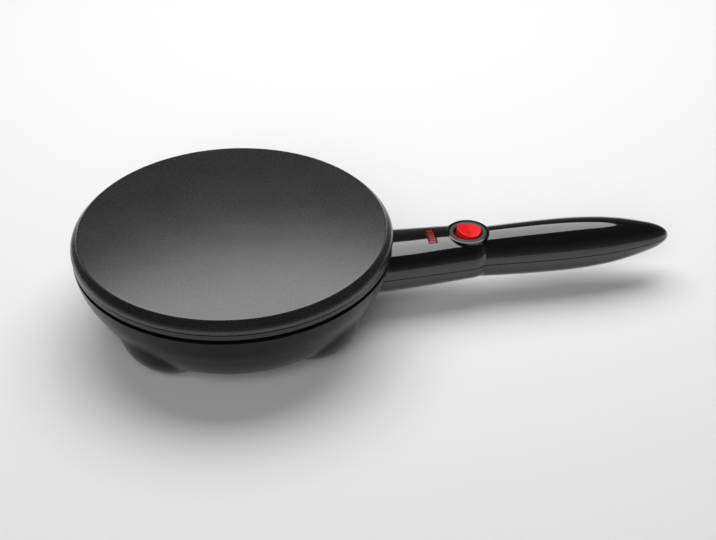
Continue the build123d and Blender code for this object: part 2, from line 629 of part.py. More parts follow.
with BuildPart() as foot_pads:
    for s, y in FEET:
        round_bar(PAD_RADIUS, 0, PAD_THICKNESS, s, y)
        round_bar(PAD_PEG, PAD_THICKNESS, PAD_THICKNESS + BOWL_WALL, s, y)
    chamfer(foot_pads.faces().filter_by(Axis.Z).group_by(Axis.Z)[0].edges(), length=PAD_THICKNESS / 4)
keep(foot_pads.part, "foot_pads")

plate_screw_low = PLATE_SCREW_SEAT_Z - PLATE_SCREW_HEAD_HEIGHT
keep(
    screw(plate_screw_low, PLATE_SCREW_HEAD, PLATE_SCREW_HEAD_HEIGHT, PILOT_RADIUS - THREAD_FIT,
          PLATE_SCREW_TIP - PLATE_SCREW_SEAT_Z, POSTS),
    "plate_screws",
)

# ============================================================================================
# Heat shield over the wiring space
# ============================================================================================
with BuildPart() as heat_shield:
    round_bar(SHIELD_RADIUS, SHIELD_Z, SHIELD_Z + SHIELD_RIM)
    drill(SHIELD_RADIUS - SHIELD_THICKNESS, SHIELD_Z + SHIELD_THICKNESS, SHIELD_Z + SHIELD_RIM)
    for s, y in POSTS:
        drill(POST_SPIGOT + SHIELD_FIT, SHIELD_Z, SHIELD_Z + SHIELD_THICKNESS, s, y)
    with BuildSketch(level(SHIELD_Z, tail_spots[0][0])):
        RectangleRounded(*SHIELD_WINDOW, radius=SHIELD_WINDOW[0] / 4)
    extrude(amount=SHIELD_THICKNESS, mode=Mode.SUBTRACT)
    drill(SHIELD_EYE, SHIELD_Z, SHIELD_Z + SHIELD_THICKNESS, SHIELD_EYE_OFFSET)
keep(heat_shield.part, "heat_shield")

# ============================================================================================
# Lift-off coupler: housing, centre earth pin and two contact rings
# ============================================================================================
COUPLER_CEILING = BOWL_FLOOR_Z + COUPLER_DEPTH
COUPLER_CAP = COUPLER_CEILING + COUPLER_TOP
TAB_TOP_Z = COUPLER_CAP + TAB_RISE
live_tab_s = RING_THICKNESS / 4 - LIVE_RING
neutral_tab_s = NEUTRAL_RING - RING_THICKNESS / 4


def tab_slot(s, grow=0.0):
    """The cross-section of a contact's tab, as a sketch on the plane in use."""
    with Locations((s, 0)):
        Rectangle(TAB_THICKNESS + 2 * grow, TAB_WIDTH + 2 * grow)


with BuildPart() as inlet_housing:
    round_bar(COUPLER_OUTER, BOWL_FLOOR_Z, COUPLER_CAP)
    round_bar(COUPLER_FLANGE, COUPLER_SEAT_Z, COUPLER_SEAT_Z + COUPLER_FLANGE_THICKNESS)
    drill(COUPLER_RADIUS, BOWL_FLOOR_Z, BOWL_FLOOR_Z + COUPLER_GUIDE)
    drill(COUPLER_INNER, BOWL_FLOOR_Z, COUPLER_CEILING)
    drill(EARTH_PIN_RADIUS, COUPLER_CEILING, COUPLER_CAP)
    with BuildSketch(level(COUPLER_CEILING)):
        tab_slot(live_tab_s, SLOT_FIT)
        tab_slot(neutral_tab_s, SLOT_FIT)
    extrude(amount=COUPLER_TOP, mode=Mode.SUBTRACT)
    for s, y in COUPLER_SCREWS:
        drill(SMALL_SCREW_RADIUS + PASS_FIT, COUPLER_SEAT_Z, COUPLER_SEAT_Z + COUPLER_FLANGE_THICKNESS, s, y)
keep(inlet_housing.part, "inlet_housing")

with BuildPart() as inlet_earth_pin:
    round_bar(EARTH_PIN_RADIUS, BOWL_FLOOR_Z + EARTH_PIN_RECESS, TAB_TOP_Z)
    chamfer(inlet_earth_pin.faces().sort_by(Axis.Z)[0].edges(), length=EARTH_PIN_RADIUS / 3)
keep(inlet_earth_pin.part, "inlet_earth_pin")


def contact_ring(radius, tab_s):
    """A ring contact with the flat tab that leaves through the housing's cap."""
    with BuildPart() as ring:
        with BuildSketch(level(BOWL_FLOOR_Z + RING_RECESS)):
            Circle(radius + RING_THICKNESS / 2)
            Circle(radius - RING_THICKNESS / 2, mode=Mode.SUBTRACT)
        extrude(amount=COUPLER_CEILING - BOWL_FLOOR_Z - RING_RECESS)
        with BuildSketch(level(COUPLER_CEILING - TAB_THICKNESS)):
            tab_slot(tab_s)
        extrude(amount=TAB_TOP_Z - COUPLER_CEILING + TAB_THICKNESS)
    return ring.part


keep(contact_ring(LIVE_RING, live_tab_s), "inlet_live_ring")
keep(contact_ring(NEUTRAL_RING, neutral_tab_s), "inlet_neutral_ring")

flange_top = COUPLER_SEAT_Z + COUPLER_FLANGE_THICKNESS
with BuildPart() as inlet_screws:
    for s, y in COUPLER_SCREWS:
        round_bar(SMALL_SCREW_HEAD, flange_top, flange_top + SMALL_SCREW_HEAD_HEIGHT, s, y)
        round_bar(SMALL_SCREW_RADIUS - THREAD_FIT, COUPLER_SEAT_Z - SMALL_BITE_DEPTH * 0.9, flange_top, s, y)
keep(inlet_screws.part, "inlet_screws")

connector_length, connector_width, connector_height = CONNECTOR_SIZE
connector_low = COUPLER_CAP + PASS_FIT
with BuildPart() as inlet_connectors:
    for s in (live_tab_s, neutral_tab_s):
        with BuildSketch(level(connector_low, s)):
            Rectangle(connector_width, connector_length)
        extrude(amount=connector_height)
        with BuildSketch(level(connector_low, s)):
            Rectangle(TAB_THICKNESS + 2 * SLOT_FIT, TAB_WIDTH + 2 * SLOT_FIT)
        extrude(amount=TAB_TOP_Z - connector_low + SLOT_FIT, mode=Mode.SUBTRACT)
    fillet(inlet_connectors.edges().filter_by(Axis.Z).group_by(Axis.X)[0], radius=connector_width / 6)
keep(inlet_connectors.part, "inlet_connectors")


# ============================================================================================
# Handle: squarish neck, switch turret and round grip, split along one level seam
# ============================================================================================
def superellipse(half_width, half_height, squareness, angle):
    """A point on the upper half of a squarish oval, or the lower half for a negative height."""
    c, s = cos(radians(angle)), sin(radians(angle))
    power = 2 / squareness
    return (half_width * abs(c) ** power * (1 if c >= 0 else -1), half_height * abs(s) ** power)


def neck_section(s, half_width, height, depth):
    """One closed section of the neck, standing across the handle."""
    station = Plane(at(s, 0, SEAM_Z), x_dir=(0, 1, 0), z_dir=(1, 0, 0))
    angles = range(0, 181, 15)
    with BuildSketch(station) as section:
        with BuildLine():
            Spline(*[superellipse(half_width, height, SQUARENESS, a) for a in angles], tangents=[(0, 1), (0, -1)])
            Spline(*[superellipse(half_width, -depth, LOWER_SQUARENESS, a) for a in angles],
                   tangents=[(0, -1), (0, 1)])
        make_face()
    return section.sketch


def neck_blank(inset):
    """The neck from inside the bowl to its rounded shoulder, each surface moved in by `inset`."""
    end = SHOULDER_S - SHOULDER_LENGTH
    start = ROOT_S - inset
    body = [
        neck_section(start + share * (end - start), half_width - inset, height - inset, depth - inset)
        for share, half_width, height, depth in NECK_STATIONS
    ]
    rounding = []
    for turn in (0, 35, 65, 85):
        step = inset + SHOULDER_ROUND * (1 - cos(radians(turn)))
        reach = (SHOULDER_LENGTH - inset / 2) * sin(radians(turn))
        rounding.append(neck_section(end + reach, *[size - step for size in NECK_STATIONS[-1][1:]]))
    with BuildPart() as neck:
        loft(body)
        loft(rounding)
    return neck.part


def grip_blank(inset):
    """The round grip with its blunt nose."""
    side = Plane(at(HANDLE_REACH, 0, SEAM_Z), x_dir=(1, 0, 0), z_dir=(0, -1, 0))
    length = HANDLE_REACH - SHOULDER_S + GRIP_OVERLAP
    stations = [((share - 1) * length - inset * share, radius - inset) for share, radius in GRIP_STATIONS]
    with BuildPart() as grip:
        with BuildSketch(side):
            with BuildLine():
                Spline(*stations, (-inset, 0), tangents=[(1, 0.05), (0, -1)])
                Polyline((-inset, 0), (stations[0][0], 0), stations[0])
            make_face()
        revolve(axis=Axis(side.origin, (1, 0, 0)))
    return grip.part


def handle_blank(inset):
    """Neck and grip together."""
    with BuildPart() as blank:
        add(neck_blank(inset))
        add(grip_blank(inset))
    return blank.part


SEAM = Plane.XY.offset(SEAM_Z)
SEAM_TOP = SEAM_Z + SEAM_GAP / 2
SEAM_LOW = SEAM_Z - SEAM_GAP / 2
RECESS_Z = TURRET_Z - RECESS_DEPTH
LEDGE_LOW_Z = RECESS_Z - SWITCH_LEDGE
SWITCH_BORE = SWITCH_BODY + SWITCH_BORE_FIT
WINDOW_Z = SEAM_Z + NECK_STATIONS[2][2]
WINDOW_SEAT_Z = WINDOW_Z - HANDLE_WALL
HANDLE_SEAT_Z = SEAM_Z - HANDLE_SCREW_SEAT
SCREW_HEAD_HEIGHT = PLATE_SCREW_HEAD_HEIGHT
SCREW_SPOTS = [(s, 0.0) for s in HANDLE_SCREWS]
TANG_SPOTS = [(s, 0.0) for s in TANG_SCREWS]
handle_solid = handle_blank(0.0)
handle_cavity = handle_blank(HANDLE_WALL)
upper_solid, lower_solid = [split(handle_solid, bisect_by=SEAM, keep=side) for side in (Keep.TOP, Keep.BOTTOM)]
upper_cavity, lower_cavity = [split(handle_cavity, bisect_by=SEAM, keep=side) for side in (Keep.TOP, Keep.BOTTOM)]


def seam_slice(inset, low, high):
    """The handle moved in by `inset`, between two heights."""
    with BuildPart() as band:
        with BuildSketch(level(low, HANDLE_REACH / 2)):
            Rectangle(HANDLE_REACH, RIM_RADIUS)
        extrude(amount=high - low)
        add(handle_blank(inset), mode=Mode.INTERSECT)
    return band.part


with BuildPart() as upper_bosses:
    for s, y in SCREW_SPOTS:
        round_bar(HANDLE_BOSS, SEAM_Z, CROWN_Z, s, y)
    add(handle_solid, mode=Mode.INTERSECT)

with BuildPart() as handle_upper:
    add(upper_solid)
    turret_side = Plane(at(TURRET_S), x_dir=(1, 0, 0), z_dir=(0, -1, 0))
    with BuildSketch(turret_side):
        with BuildLine():
            Polyline(
                (0, TURRET_BASE_Z), (TURRET_BASE, TURRET_BASE_Z), (TURRET_RADIUS, TURRET_Z), (0, TURRET_Z), close=True
            )
        make_face()
    revolve(axis=Axis(turret_side.origin, (0, 0, 1)))
    rim = handle_upper.faces().filter_by(Axis.Z).sort_by(Axis.Z)[-1]
    chamfer(rim.edges(), length=TURRET_CHAMFER)
    add(upper_cavity, mode=Mode.SUBTRACT)
    drill(TURRET_RECESS, RECESS_Z, TURRET_Z, TURRET_S)
    drill(SWITCH_BORE, SEAM_Z, RECESS_Z, TURRET_S)
    # window for the pilot lamp
    with BuildSketch(level(WINDOW_SEAT_Z - HANDLE_WALL, WINDOW_S)):
        Rectangle(*WINDOW_SIZE)
    extrude(amount=3 * HANDLE_WALL, mode=Mode.SUBTRACT)
    # the shell stops short of the seam's middle and fits round the bowl
    with BuildSketch(level(SEAM_Z, HANDLE_REACH / 2)):
        Rectangle(HANDLE_REACH, RIM_RADIUS)
    extrude(amount=SEAM_GAP / 2, mode=Mode.SUBTRACT)
    add(seam_slice(HANDLE_WALL / 2 - LIP_FIT, SEAM_Z, SEAM_Z + LIP_HEIGHT + LIP_FIT), mode=Mode.SUBTRACT)
    add(upper_bosses.part)
    for s, y in SCREW_SPOTS:
        drill(PILOT_RADIUS, SEAM_Z, SEAM_Z + HANDLE_SCREW_BITE, s, y)
    add(bowl_solid, mode=Mode.SUBTRACT)
keep(handle_upper.part, "handle_upper")

with BuildPart() as lower_bosses:
    for s, y in SCREW_SPOTS:
        round_bar(HANDLE_BOSS, SEAM_Z - RIM_RADIUS, SEAM_Z, s, y)
    for s, y in TANG_SPOTS[1:]:
        round_bar(TANG_BOSS, SEAM_Z - RIM_RADIUS, TANG_Z, s, y)
    add(handle_solid, mode=Mode.INTERSECT)

with BuildPart() as handle_lower:
    add(lower_solid)
    with BuildSketch(level(SEAM_LOW, HANDLE_REACH / 2)):
        Rectangle(HANDLE_REACH, RIM_RADIUS)
    extrude(amount=SEAM_GAP, mode=Mode.SUBTRACT)
    add(seam_slice(HANDLE_WALL / 2, SEAM_Z - 2 * LIP_HEIGHT, SEAM_Z + LIP_HEIGHT))
    add(seam_slice(HANDLE_WALL, SEAM_Z - LIP_HEIGHT, SEAM_Z + 2 * LIP_HEIGHT), mode=Mode.SUBTRACT)
    add(lower_cavity, mode=Mode.SUBTRACT)
    add(lower_bosses.part)
    for s, y in SCREW_SPOTS:
        drill(HANDLE_SCREW_HEAD + PASS_FIT, SEAM_Z - RIM_RADIUS, HANDLE_SEAT_Z, s, y)
        drill(PILOT_RADIUS + PASS_FIT, HANDLE_SEAT_Z, SEAM_Z, s, y)
    for s, y in TANG_SPOTS[1:]:
        drill(PILOT_RADIUS, TANG_Z - HANDLE_SCREW_BITE / 2, TANG_Z, s, y)
    add(bowl_solid, mode=Mode.SUBTRACT)
keep(handle_lower.part, "handle_lower")

keep(
    screw(HANDLE_SEAT_Z - SCREW_HEAD_HEIGHT, HANDLE_SCREW_HEAD, SCREW_HEAD_HEIGHT, PILOT_RADIUS - THREAD_FIT,
          HANDLE_SCREW_SEAT + HANDLE_SCREW_BITE - PILOT_RADIUS, SCREW_SPOTS),
    "handle_screws",
)

# ---- Steel tang between the bowl and the handle, with its screws ---------------------------
with BuildPart() as handle_tang:
    with BuildSketch(level(TANG_Z, (TANG_START_S + TANG_END_S) / 2)):
        RectangleRounded(TANG_END_S - TANG_START_S, TANG_WIDTH, radius=TANG_WIDTH / 4)
    extrude(amount=TANG_THICKNESS)
    for s, y in TANG_SPOTS:
        drill(PILOT_RADIUS + PASS_FIT, TANG_Z, TANG_TOP, s, y)
keep(handle_tang.part, "handle_tang")

with BuildPart() as tang_screws:
    for s, y in TANG_SPOTS:
        round_bar(HANDLE_SCREW_HEAD, TANG_TOP, TANG_TOP + SCREW_HEAD_HEIGHT, s, y)
        round_bar(PILOT_RADIUS - THREAD_FIT, TANG_Z - HANDLE_SCREW_BITE / 2 + THREAD_FIT, TANG_TOP, s, y)
keep(tang_screws.part, "tang_screws")

# ============================================================================================
# Switch: bezel and body, round rocker, plunger, spring, see-saw blade, terminals
# ============================================================================================
BEZEL_Z = RECESS_Z + BEZEL_THICKNESS
PIVOT = at(TURRET_S, 0, ROCKER_PIVOT_Z)
HALF_TRAVEL = ROCKER_TRAVEL / 2
# at rest the end nearer the plate stands up, so the rocker is turned this way about +Y
ROCKER_FRAME = Plane(PIVOT, x_dir=(1, 0, 0), z_dir=(0, 0, 1)).rotated((0, HALF_TRAVEL, 0))
BLADE_PIVOT = at(TURRET_S, 0, BLADE_PIVOT_Z)
BLADE_FRAME = Plane(BLADE_PIVOT, x_dir=(1, 0, 0), z_dir=(0, 0, 1)).rotated((0, -BLADE_TRAVEL / 2, 0))
TERMINALS = [TURRET_S, TURRET_S + TERMINAL_PITCH]     # the blade's pivot, then the fixed contact
PIVOT_GAP = 0.3
PIVOT_TOP = BLADE_PIVOT_Z - PIVOT_GAP - TERMINAL_WIDTH / 2 * tan(radians(BLADE_TRAVEL / 2))
CONTACT_TOP = SWITCH_FLOOR_Z + SWITCH_WALL + TAB_THICKNESS

with BuildPart() as switch_housing:
    round_bar(SWITCH_BODY, SWITCH_STEP_Z, RECESS_Z, TURRET_S)
    round_bar(BEZEL_RADIUS, RECESS_Z, BEZEL_Z, TURRET_S)
    fillet(switch_housing.faces().sort_by(Axis.Z)[-1].edges(), radius=BEZEL_THICKNESS / 4)
    round_bar(SWITCH_BASE, SWITCH_FLOOR_Z, SWITCH_STEP_Z, TURRET_S)
    drill(ROCKER_MOUTH, SWITCH_STEP_Z + SWITCH_WALL, BEZEL_Z, TURRET_S)
    drill(SWITCH_BASE - SWITCH_WALL, SWITCH_FLOOR_Z + SWITCH_WALL, SWITCH_STEP_Z + SWITCH_WALL, TURRET_S)
    with BuildSketch(Plane(PIVOT, x_dir=(1, 0, 0), z_dir=(0, 1, 0))):
        Circle(TRUNNION_RADIUS + TRUNNION_FIT)
    extrude(amount=TRUNNION_REACH + PASS_FIT, both=True, mode=Mode.SUBTRACT)
    with BuildSketch(level(SWITCH_FLOOR_Z)):
        with Locations(*[(s, 0) for s in TERMINALS]):
            Rectangle(TERMINAL_WIDTH + 2 * SLOT_FIT, TAB_THICKNESS + 2 * SLOT_FIT)
    extrude(amount=SWITCH_WALL, mode=Mode.SUBTRACT)
keep(switch_housing.part, "switch_housing")

with BuildPart() as rocker:
    with BuildSketch(Plane(PIVOT, x_dir=(1, 0, 0), z_dir=(0, -1, 0)).rotated((0, 0, -HALF_TRAVEL))):
        with BuildLine():
            Polyline(
                (-ROCKER_RADIUS, -ROCKER_DEPTH),
                (ROCKER_RADIUS, -ROCKER_DEPTH),
                (ROCKER_RADIUS, ROCKER_HEIGHT),
                (0, ROCKER_HEIGHT - ROCKER_DIP),
                (-ROCKER_RADIUS, ROCKER_HEIGHT),
                close=True,
            )
        make_face()
    extrude(amount=ROCKER_RADIUS, both=True)
    with BuildSketch(ROCKER_FRAME.offset(-ROCKER_DEPTH)):
        Circle(ROCKER_RADIUS)
    extrude(amount=ROCKER_DEPTH + ROCKER_HEIGHT, mode=Mode.INTERSECT)
    with BuildSketch(Plane(PIVOT, x_dir=(1, 0, 0), z_dir=(0, 1, 0))):
        Circle(TRUNNION_RADIUS)
    extrude(amount=TRUNNION_REACH, both=True)
    with BuildSketch(ROCKER_FRAME.offset(-STEM_LENGTH)):
        Circle(STEM_RADIUS)
    extrude(amount=STEM_LENGTH)
    with BuildSketch(ROCKER_FRAME.offset(-STEM_LENGTH)):
        Circle(STEM_BORE)
    extrude(amount=STEM_LENGTH, mode=Mode.SUBTRACT)
keep(rocker.part, "rocker")

with BuildPart() as switch_plunger:
    with BuildSketch(ROCKER_FRAME.offset(-STEM_LENGTH - PLUNGER_STANDOUT)):
        Circle(PLUNGER_RADIUS)
    extrude(amount=PLUNGER_LENGTH)
    fillet(switch_plunger.edges().group_by(Axis.Z)[0], radius=PLUNGER_RADIUS / 2)
keep(switch_plunger.part, "switch_plunger")

SPRING_SPACE = STEM_LENGTH + PLUNGER_STANDOUT - PLUNGER_LENGTH
spring_turn = STEM_BORE - SPRING_WIRE - SLOT_FIT
with BuildPart() as switch_spring:
    with BuildLine() as coil:
        Helix(pitch=SPRING_SPACE / 4, height=SPRING_SPACE - 2 * SPRING_WIRE, radius=spring_turn,
              center=(0, 0, SPRING_WIRE - SPRING_SPACE))
    with BuildSketch(Plane(coil.line @ 0, z_dir=coil.line % 0)):
        Circle(SPRING_WIRE)
    sweep(is_frenet=True)
keep(ROCKER_FRAME * switch_spring.part, "switch_spring")

with BuildPart() as contact_blade:
    with BuildSketch(BLADE_FRAME):
        Rectangle(BLADE_LENGTH, BLADE_WIDTH)
    extrude(amount=BLADE_THICKNESS)
    with BuildSketch(BLADE_FRAME.offset(-CONTACT_HEIGHT)):
        with Locations((TERMINAL_PITCH - CONTACT_RADIUS / 4, 0)):
            Circle(CONTACT_RADIUS)
    extrude(amount=CONTACT_HEIGHT)
keep(contact_blade.part, "contact_blade")

with BuildPart() as switch_terminals:
    for s, top in zip(TERMINALS, (PIVOT_TOP, CONTACT_TOP)):
        with BuildSketch(level(SWITCH_FLOOR_Z - TERMINAL_DROP, s)):
            Rectangle(TERMINAL_WIDTH, TAB_THICKNESS)
        extrude(amount=top - SWITCH_FLOOR_Z + TERMINAL_DROP)
keep(switch_terminals.part, "switch_terminals")

# ============================================================================================
# Pilot lamp: window lens, lamp and its holder
# ============================================================================================
def neck_top(y, inset):
    """Height of the neck's upper surface, or of one moved in by `inset`, at the lamp window."""
    half_width, height = NECK_STATIONS[2][1] - inset, NECK_STATIONS[2][2] - inset
    return SEAM_Z + height * (1 - (y / half_width) ** SQUARENESS) ** (1 / SQUARENESS)


LENS_LENGTH, LENS_WIDTH = [size - 2 * LENS_FIT for size in WINDOW_SIZE]
FLANGE_TOP = neck_top(LENS_WIDTH / 2 + LENS_LIP, HANDLE_WALL) - LENS_FIT
FLANGE_LOW = FLANGE_TOP - LENS_LIP_THICKNESS
with BuildPart() as pilot_lens:
    with BuildSketch(level(FLANGE_LOW, WINDOW_S)):
        Rectangle(LENS_LENGTH, LENS_WIDTH)
    extrude(amount=WINDOW_Z + LENS_PROUD - FLANGE_LOW)
    fillet(pilot_lens.faces().sort_by(Axis.Z)[-1].edges(), radius=LENS_PROUD * 0.8)
    with BuildSketch(level(FLANGE_LOW, WINDOW_S)):
        Rectangle(LENS_LENGTH + 2 * LENS_LIP, LENS_WIDTH + 2 * LENS_LIP)
    extrude(amount=LENS_LIP_THICKNESS)
keep(pilot_lens.part, "pilot_lens")

HOLDER_RADIUS = LAMP_RADIUS + LAMP_HOLDER_WALL
LAMP_Z = FLANGE_LOW - LAMP_DROP - HOLDER_RADIUS
with BuildPart() as lamp_holder:
    with BuildSketch(Plane(at(WINDOW_S - LAMP_HOLDER_LENGTH / 2, 0, LAMP_Z), x_dir=(0, 1, 0), z_dir=(1, 0, 0))):
        Circle(HOLDER_RADIUS)
        with Locations((0, (FLANGE_LOW - LAMP_Z) / 2)):
            Rectangle(2 * HOLDER_RADIUS, FLANGE_LOW - LAMP_Z)
        Circle(LAMP_RADIUS, mode=Mode.SUBTRACT)
    extrude(amount=LAMP_HOLDER_LENGTH)
    with BuildSketch(level(LAMP_Z + LAMP_RADIUS / 2, WINDOW_S)):
        Rectangle(LAMP_HOLDER_LENGTH - 2 * LAMP_HOLDER_WALL, 2 * LAMP_RADIUS)
    extrude(amount=FLANGE_LOW - LAMP_Z, mode=Mode.SUBTRACT)
keep(lamp_holder.part, "lamp_holder")

with BuildPart() as pilot_lamp:
    with BuildSketch(Plane(at(WINDOW_S - LAMP_LENGTH / 2, 0, LAMP_Z), x_dir=(0, 1, 0), z_dir=(1, 0, 0))):
        Circle(LAMP_RADIUS - THREAD_FIT)
    extrude(amount=LAMP_LENGTH)
    fillet(pilot_lamp.edges(), radius=LAMP_RADIUS / 2)
keep(pilot_lamp.part, "pilot_lamp")


# ============================================================================================
# Leads inside the bowl and handle: straight runs joined by tangent arcs
# ============================================================================================
def lead(name, *route):
    """Write one insulated lead that follows the route, a list of (s, y, z) points."""
    points = [Vector(*at(*spot)) for spot in route]
    bends = []
    for before, corner, after in zip(points, points[1:], points[2:]):
        turn = (corner - before).get_angle(after - corner)
        shorter = min((corner - before).length, (after - corner).length)
        bends.append(min(WIRE_BEND, BEND_SHARE * shorter / tan(radians(turn / 2))))
    with BuildPart() as wire:
        with BuildLine() as path:
            FilletPolyline(*points, radius=bends)
        with BuildSketch(Plane(path.line @ 0, z_dir=path.line % 0)):
            Circle(WIRE_RADIUS)
        sweep()
    keep(wire.part, name)


CONNECTOR_TOP = connector_low + connector_height
TAB_Z = THERMOSTAT_BASE_Z + 2.5 * TAB_THICKNESS
TAB_TIP = THERMOSTAT_RADIUS + THERMOSTAT_TAB
FUSE_Z = FUSE_SEAT_Z - FUSE_RADIUS
FUSE_END = FUSE_LENGTH / 2
UNDER_SHIELD = SHIELD_Z - 7.0
PIN_S, PIN_Y = tail_spots[1][0] - PIN_RADIUS, abs(tail_spots[1][1])
PIN_Z = PIN_END_Z + PIN_LENGTH / 4
SOLDER_Z = SWITCH_FLOOR_Z - TERMINAL_DROP / 2
HALF_TAB = TAB_THICKNESS / 2
LAMP_START = WINDOW_S - LAMP_LENGTH / 2
LAMP_STOP = WINDOW_S + LAMP_LENGTH / 2
EARTH_S, EARTH_Y = EARTH_POINT
TONGUE_S = EARTH_S + 3 * RING_TERMINAL

lead(
    "lead_live_in",
    (live_tab_s, 0, CONNECTOR_TOP),
    (live_tab_s, 0, UNDER_SHIELD),
    (40, -18, UNDER_SHIELD),
    (62, -14, PASSAGE_Z + 4),
    (80, -4.5, PASSAGE_Z),
    (104, -4.5, PASSAGE_Z),
    (138, -4.5, SOLDER_Z),
    (TERMINALS[0], -4.5, SOLDER_Z),
    (TERMINALS[0], -HALF_TAB, SOLDER_Z),
)
lead(
    "lead_live_out",
    (TERMINALS[1], HALF_TAB, SOLDER_Z),
    (TERMINALS[1], 5.5, SOLDER_Z),
    (138, 5.5, SOLDER_Z),
    (104, 4.5, PASSAGE_Z),
    (78, 4.5, PASSAGE_Z),
    (30, 16, UNDER_SHIELD - 5),
    (-14, 16, UNDER_SHIELD - 5),
    (SHIELD_EYE_OFFSET, 6, UNDER_SHIELD),
    (SHIELD_EYE_OFFSET, 1.5, SHIELD_Z + 4),
    (SHIELD_EYE_OFFSET + 2.5, 0, TAB_Z),
    (-TAB_TIP, 0, TAB_Z),
)
lead(
    "lead_thermostat_fuse",
    (TAB_TIP, 0, TAB_Z),
    (TAB_TIP + 8, 0, TAB_Z),
    (TAB_TIP + 8, 16, TAB_Z),
    (TAB_TIP, FUSE_OFFSET, FUSE_Z),
    (FUSE_END, FUSE_OFFSET, FUSE_Z),
)
lead(
    "lead_fuse_element",
    (-FUSE_END, FUSE_OFFSET, FUSE_Z),
    (-20, FUSE_OFFSET, FUSE_Z),
    (SHIELD_EYE_OFFSET - 6, 12, FUSE_Z),
    (SHIELD_EYE_OFFSET - 6, -1.5, SHIELD_Z + 5),
    (SHIELD_EYE_OFFSET - 6, -3, UNDER_SHIELD + 2),
    (-18, -28, UNDER_SHIELD),
    (42, -30, UNDER_SHIELD),
    (PIN_S - 9, -PIN_Y, PIN_Z),
    (PIN_S, -PIN_Y, PIN_Z),
)
lead(
    "lead_neutral",
    (neutral_tab_s, 0, CONNECTOR_TOP),
    (neutral_tab_s, 0, UNDER_SHIELD),
    (14, 24, UNDER_SHIELD + 3),
    (46, 25, UNDER_SHIELD + 3),
    (PIN_S - 9, PIN_Y, PIN_Z),
    (PIN_S, PIN_Y, PIN_Z),
)
lead(
    "lead_earth",
    (0, 0, TAB_TOP_Z),
    (0, 0, TAB_TOP_Z + 6),
    (-14, -8, UNDER_SHIELD - 1),
    (SHIELD_EYE_OFFSET, -6.5, UNDER_SHIELD + 2),
    (SHIELD_EYE_OFFSET - 1, -6.5, SHIELD_Z + 2.5),
    (TONGUE_S, EARTH_Y, SHIELD_Z + 6.5),
    (TONGUE_S, EARTH_Y, EARTH_SEAT_Z - TAB_THICKNESS),
)
lead(
    "lead_lamp_neutral",
    (neutral_tab_s, -2.6, CONNECTOR_TOP),
    (neutral_tab_s, -2.6, CONNECTOR_TOP + 4.5),
    (36, -8.2, PASSAGE_Z + 4),
    (60, -8.2, PASSAGE_Z + 2.5),
    (80, 0, PASSAGE_Z + 2.5),
    (104, 0, PASSAGE_Z + 2.5),
    (LAMP_START - 8, 0, LAMP_Z),
    (LAMP_START, 0, LAMP_Z),
)
lead(
    "lead_lamp_live",
    (TERMINALS[1], -HALF_TAB, SOLDER_Z - 2),
    (TERMINALS[1], -8.5, SOLDER_Z - 2),
    (150, -10.5, SOLDER_Z),
    (145.5, -6, LAMP_Z - 3),
    (144, 0, LAMP_Z),
    (LAMP_STOP, 0, LAMP_Z),
)
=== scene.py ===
# %% [markdown]
# # An electric crepe maker, dressed in Blender
# The hot plate is a shallow dome that is dipped in batter. Under it sits a black footed bowl, and
# a long hollow handle leaves the bowl on one side, with a round rocker switch on a turret and a
# small red lamp window. The measured frame is loaded first, and every piece is placed from it.

# %% Load the measured frame
import json
import math

import bmesh
import bpy
from mathutils import Matrix, Vector


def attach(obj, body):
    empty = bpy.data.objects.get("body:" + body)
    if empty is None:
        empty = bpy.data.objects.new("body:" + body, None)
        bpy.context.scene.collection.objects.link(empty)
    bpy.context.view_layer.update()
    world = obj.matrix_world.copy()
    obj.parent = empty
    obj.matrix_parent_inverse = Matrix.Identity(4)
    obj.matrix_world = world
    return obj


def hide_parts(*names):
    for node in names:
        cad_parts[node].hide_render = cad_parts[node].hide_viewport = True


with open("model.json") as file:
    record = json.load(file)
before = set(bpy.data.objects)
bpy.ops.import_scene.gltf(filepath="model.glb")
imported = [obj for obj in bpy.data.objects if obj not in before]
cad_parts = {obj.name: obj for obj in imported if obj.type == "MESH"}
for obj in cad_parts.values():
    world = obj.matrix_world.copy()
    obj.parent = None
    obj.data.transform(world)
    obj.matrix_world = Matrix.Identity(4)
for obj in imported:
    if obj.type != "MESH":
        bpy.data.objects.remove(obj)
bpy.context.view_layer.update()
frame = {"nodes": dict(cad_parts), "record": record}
nodes = frame["nodes"]

# %% [markdown]
# ## Camera
# A product shot from a long lens keeps the round plate a calm ellipse. The camera is set on a
# sphere round the middle of the object, by azimuth and elevation, which is easier to reason
# about than three coordinates.

# %% Camera
MM = 0.001
AXIS_X = -97.75                      # the plate's axis; distances S run from it along the handle
TARGET = Vector((-0.01925, -0.02538, 0.0440))
CAMERA_DISTANCE = 0.89162
CAMERA_AZIMUTH, CAMERA_ELEVATION = math.radians(-9.293), math.radians(35.509)
FOCAL_LENGTH, SENSOR_WIDTH = 68.73, 36.0


def on_sphere(azimuth, elevation, distance):
    """A point round the target; azimuth 0 looks from the front."""
    flat = math.cos(elevation) * distance
    offset = (math.sin(azimuth) * flat, -math.cos(azimuth) * flat, math.sin(elevation) * distance)
    return TARGET + Vector(offset)


def look_at(thing, point):
    """Turn a camera or lamp so that it faces a point."""
    thing.rotation_euler = (Vector(point) - thing.location).to_track_quat("-Z", "Y").to_euler()


bpy.ops.object.camera_add(location=on_sphere(CAMERA_AZIMUTH, CAMERA_ELEVATION, CAMERA_DISTANCE))
camera = bpy.context.object
camera.name = "camera"
camera.data.lens = FOCAL_LENGTH
camera.data.sensor_width = SENSOR_WIDTH
look_at(camera, TARGET)
scene = bpy.context.scene
scene.camera = camera
scene.view_settings.view_transform = "Standard"
print("camera at", [round(v, 4) for v in camera.location])

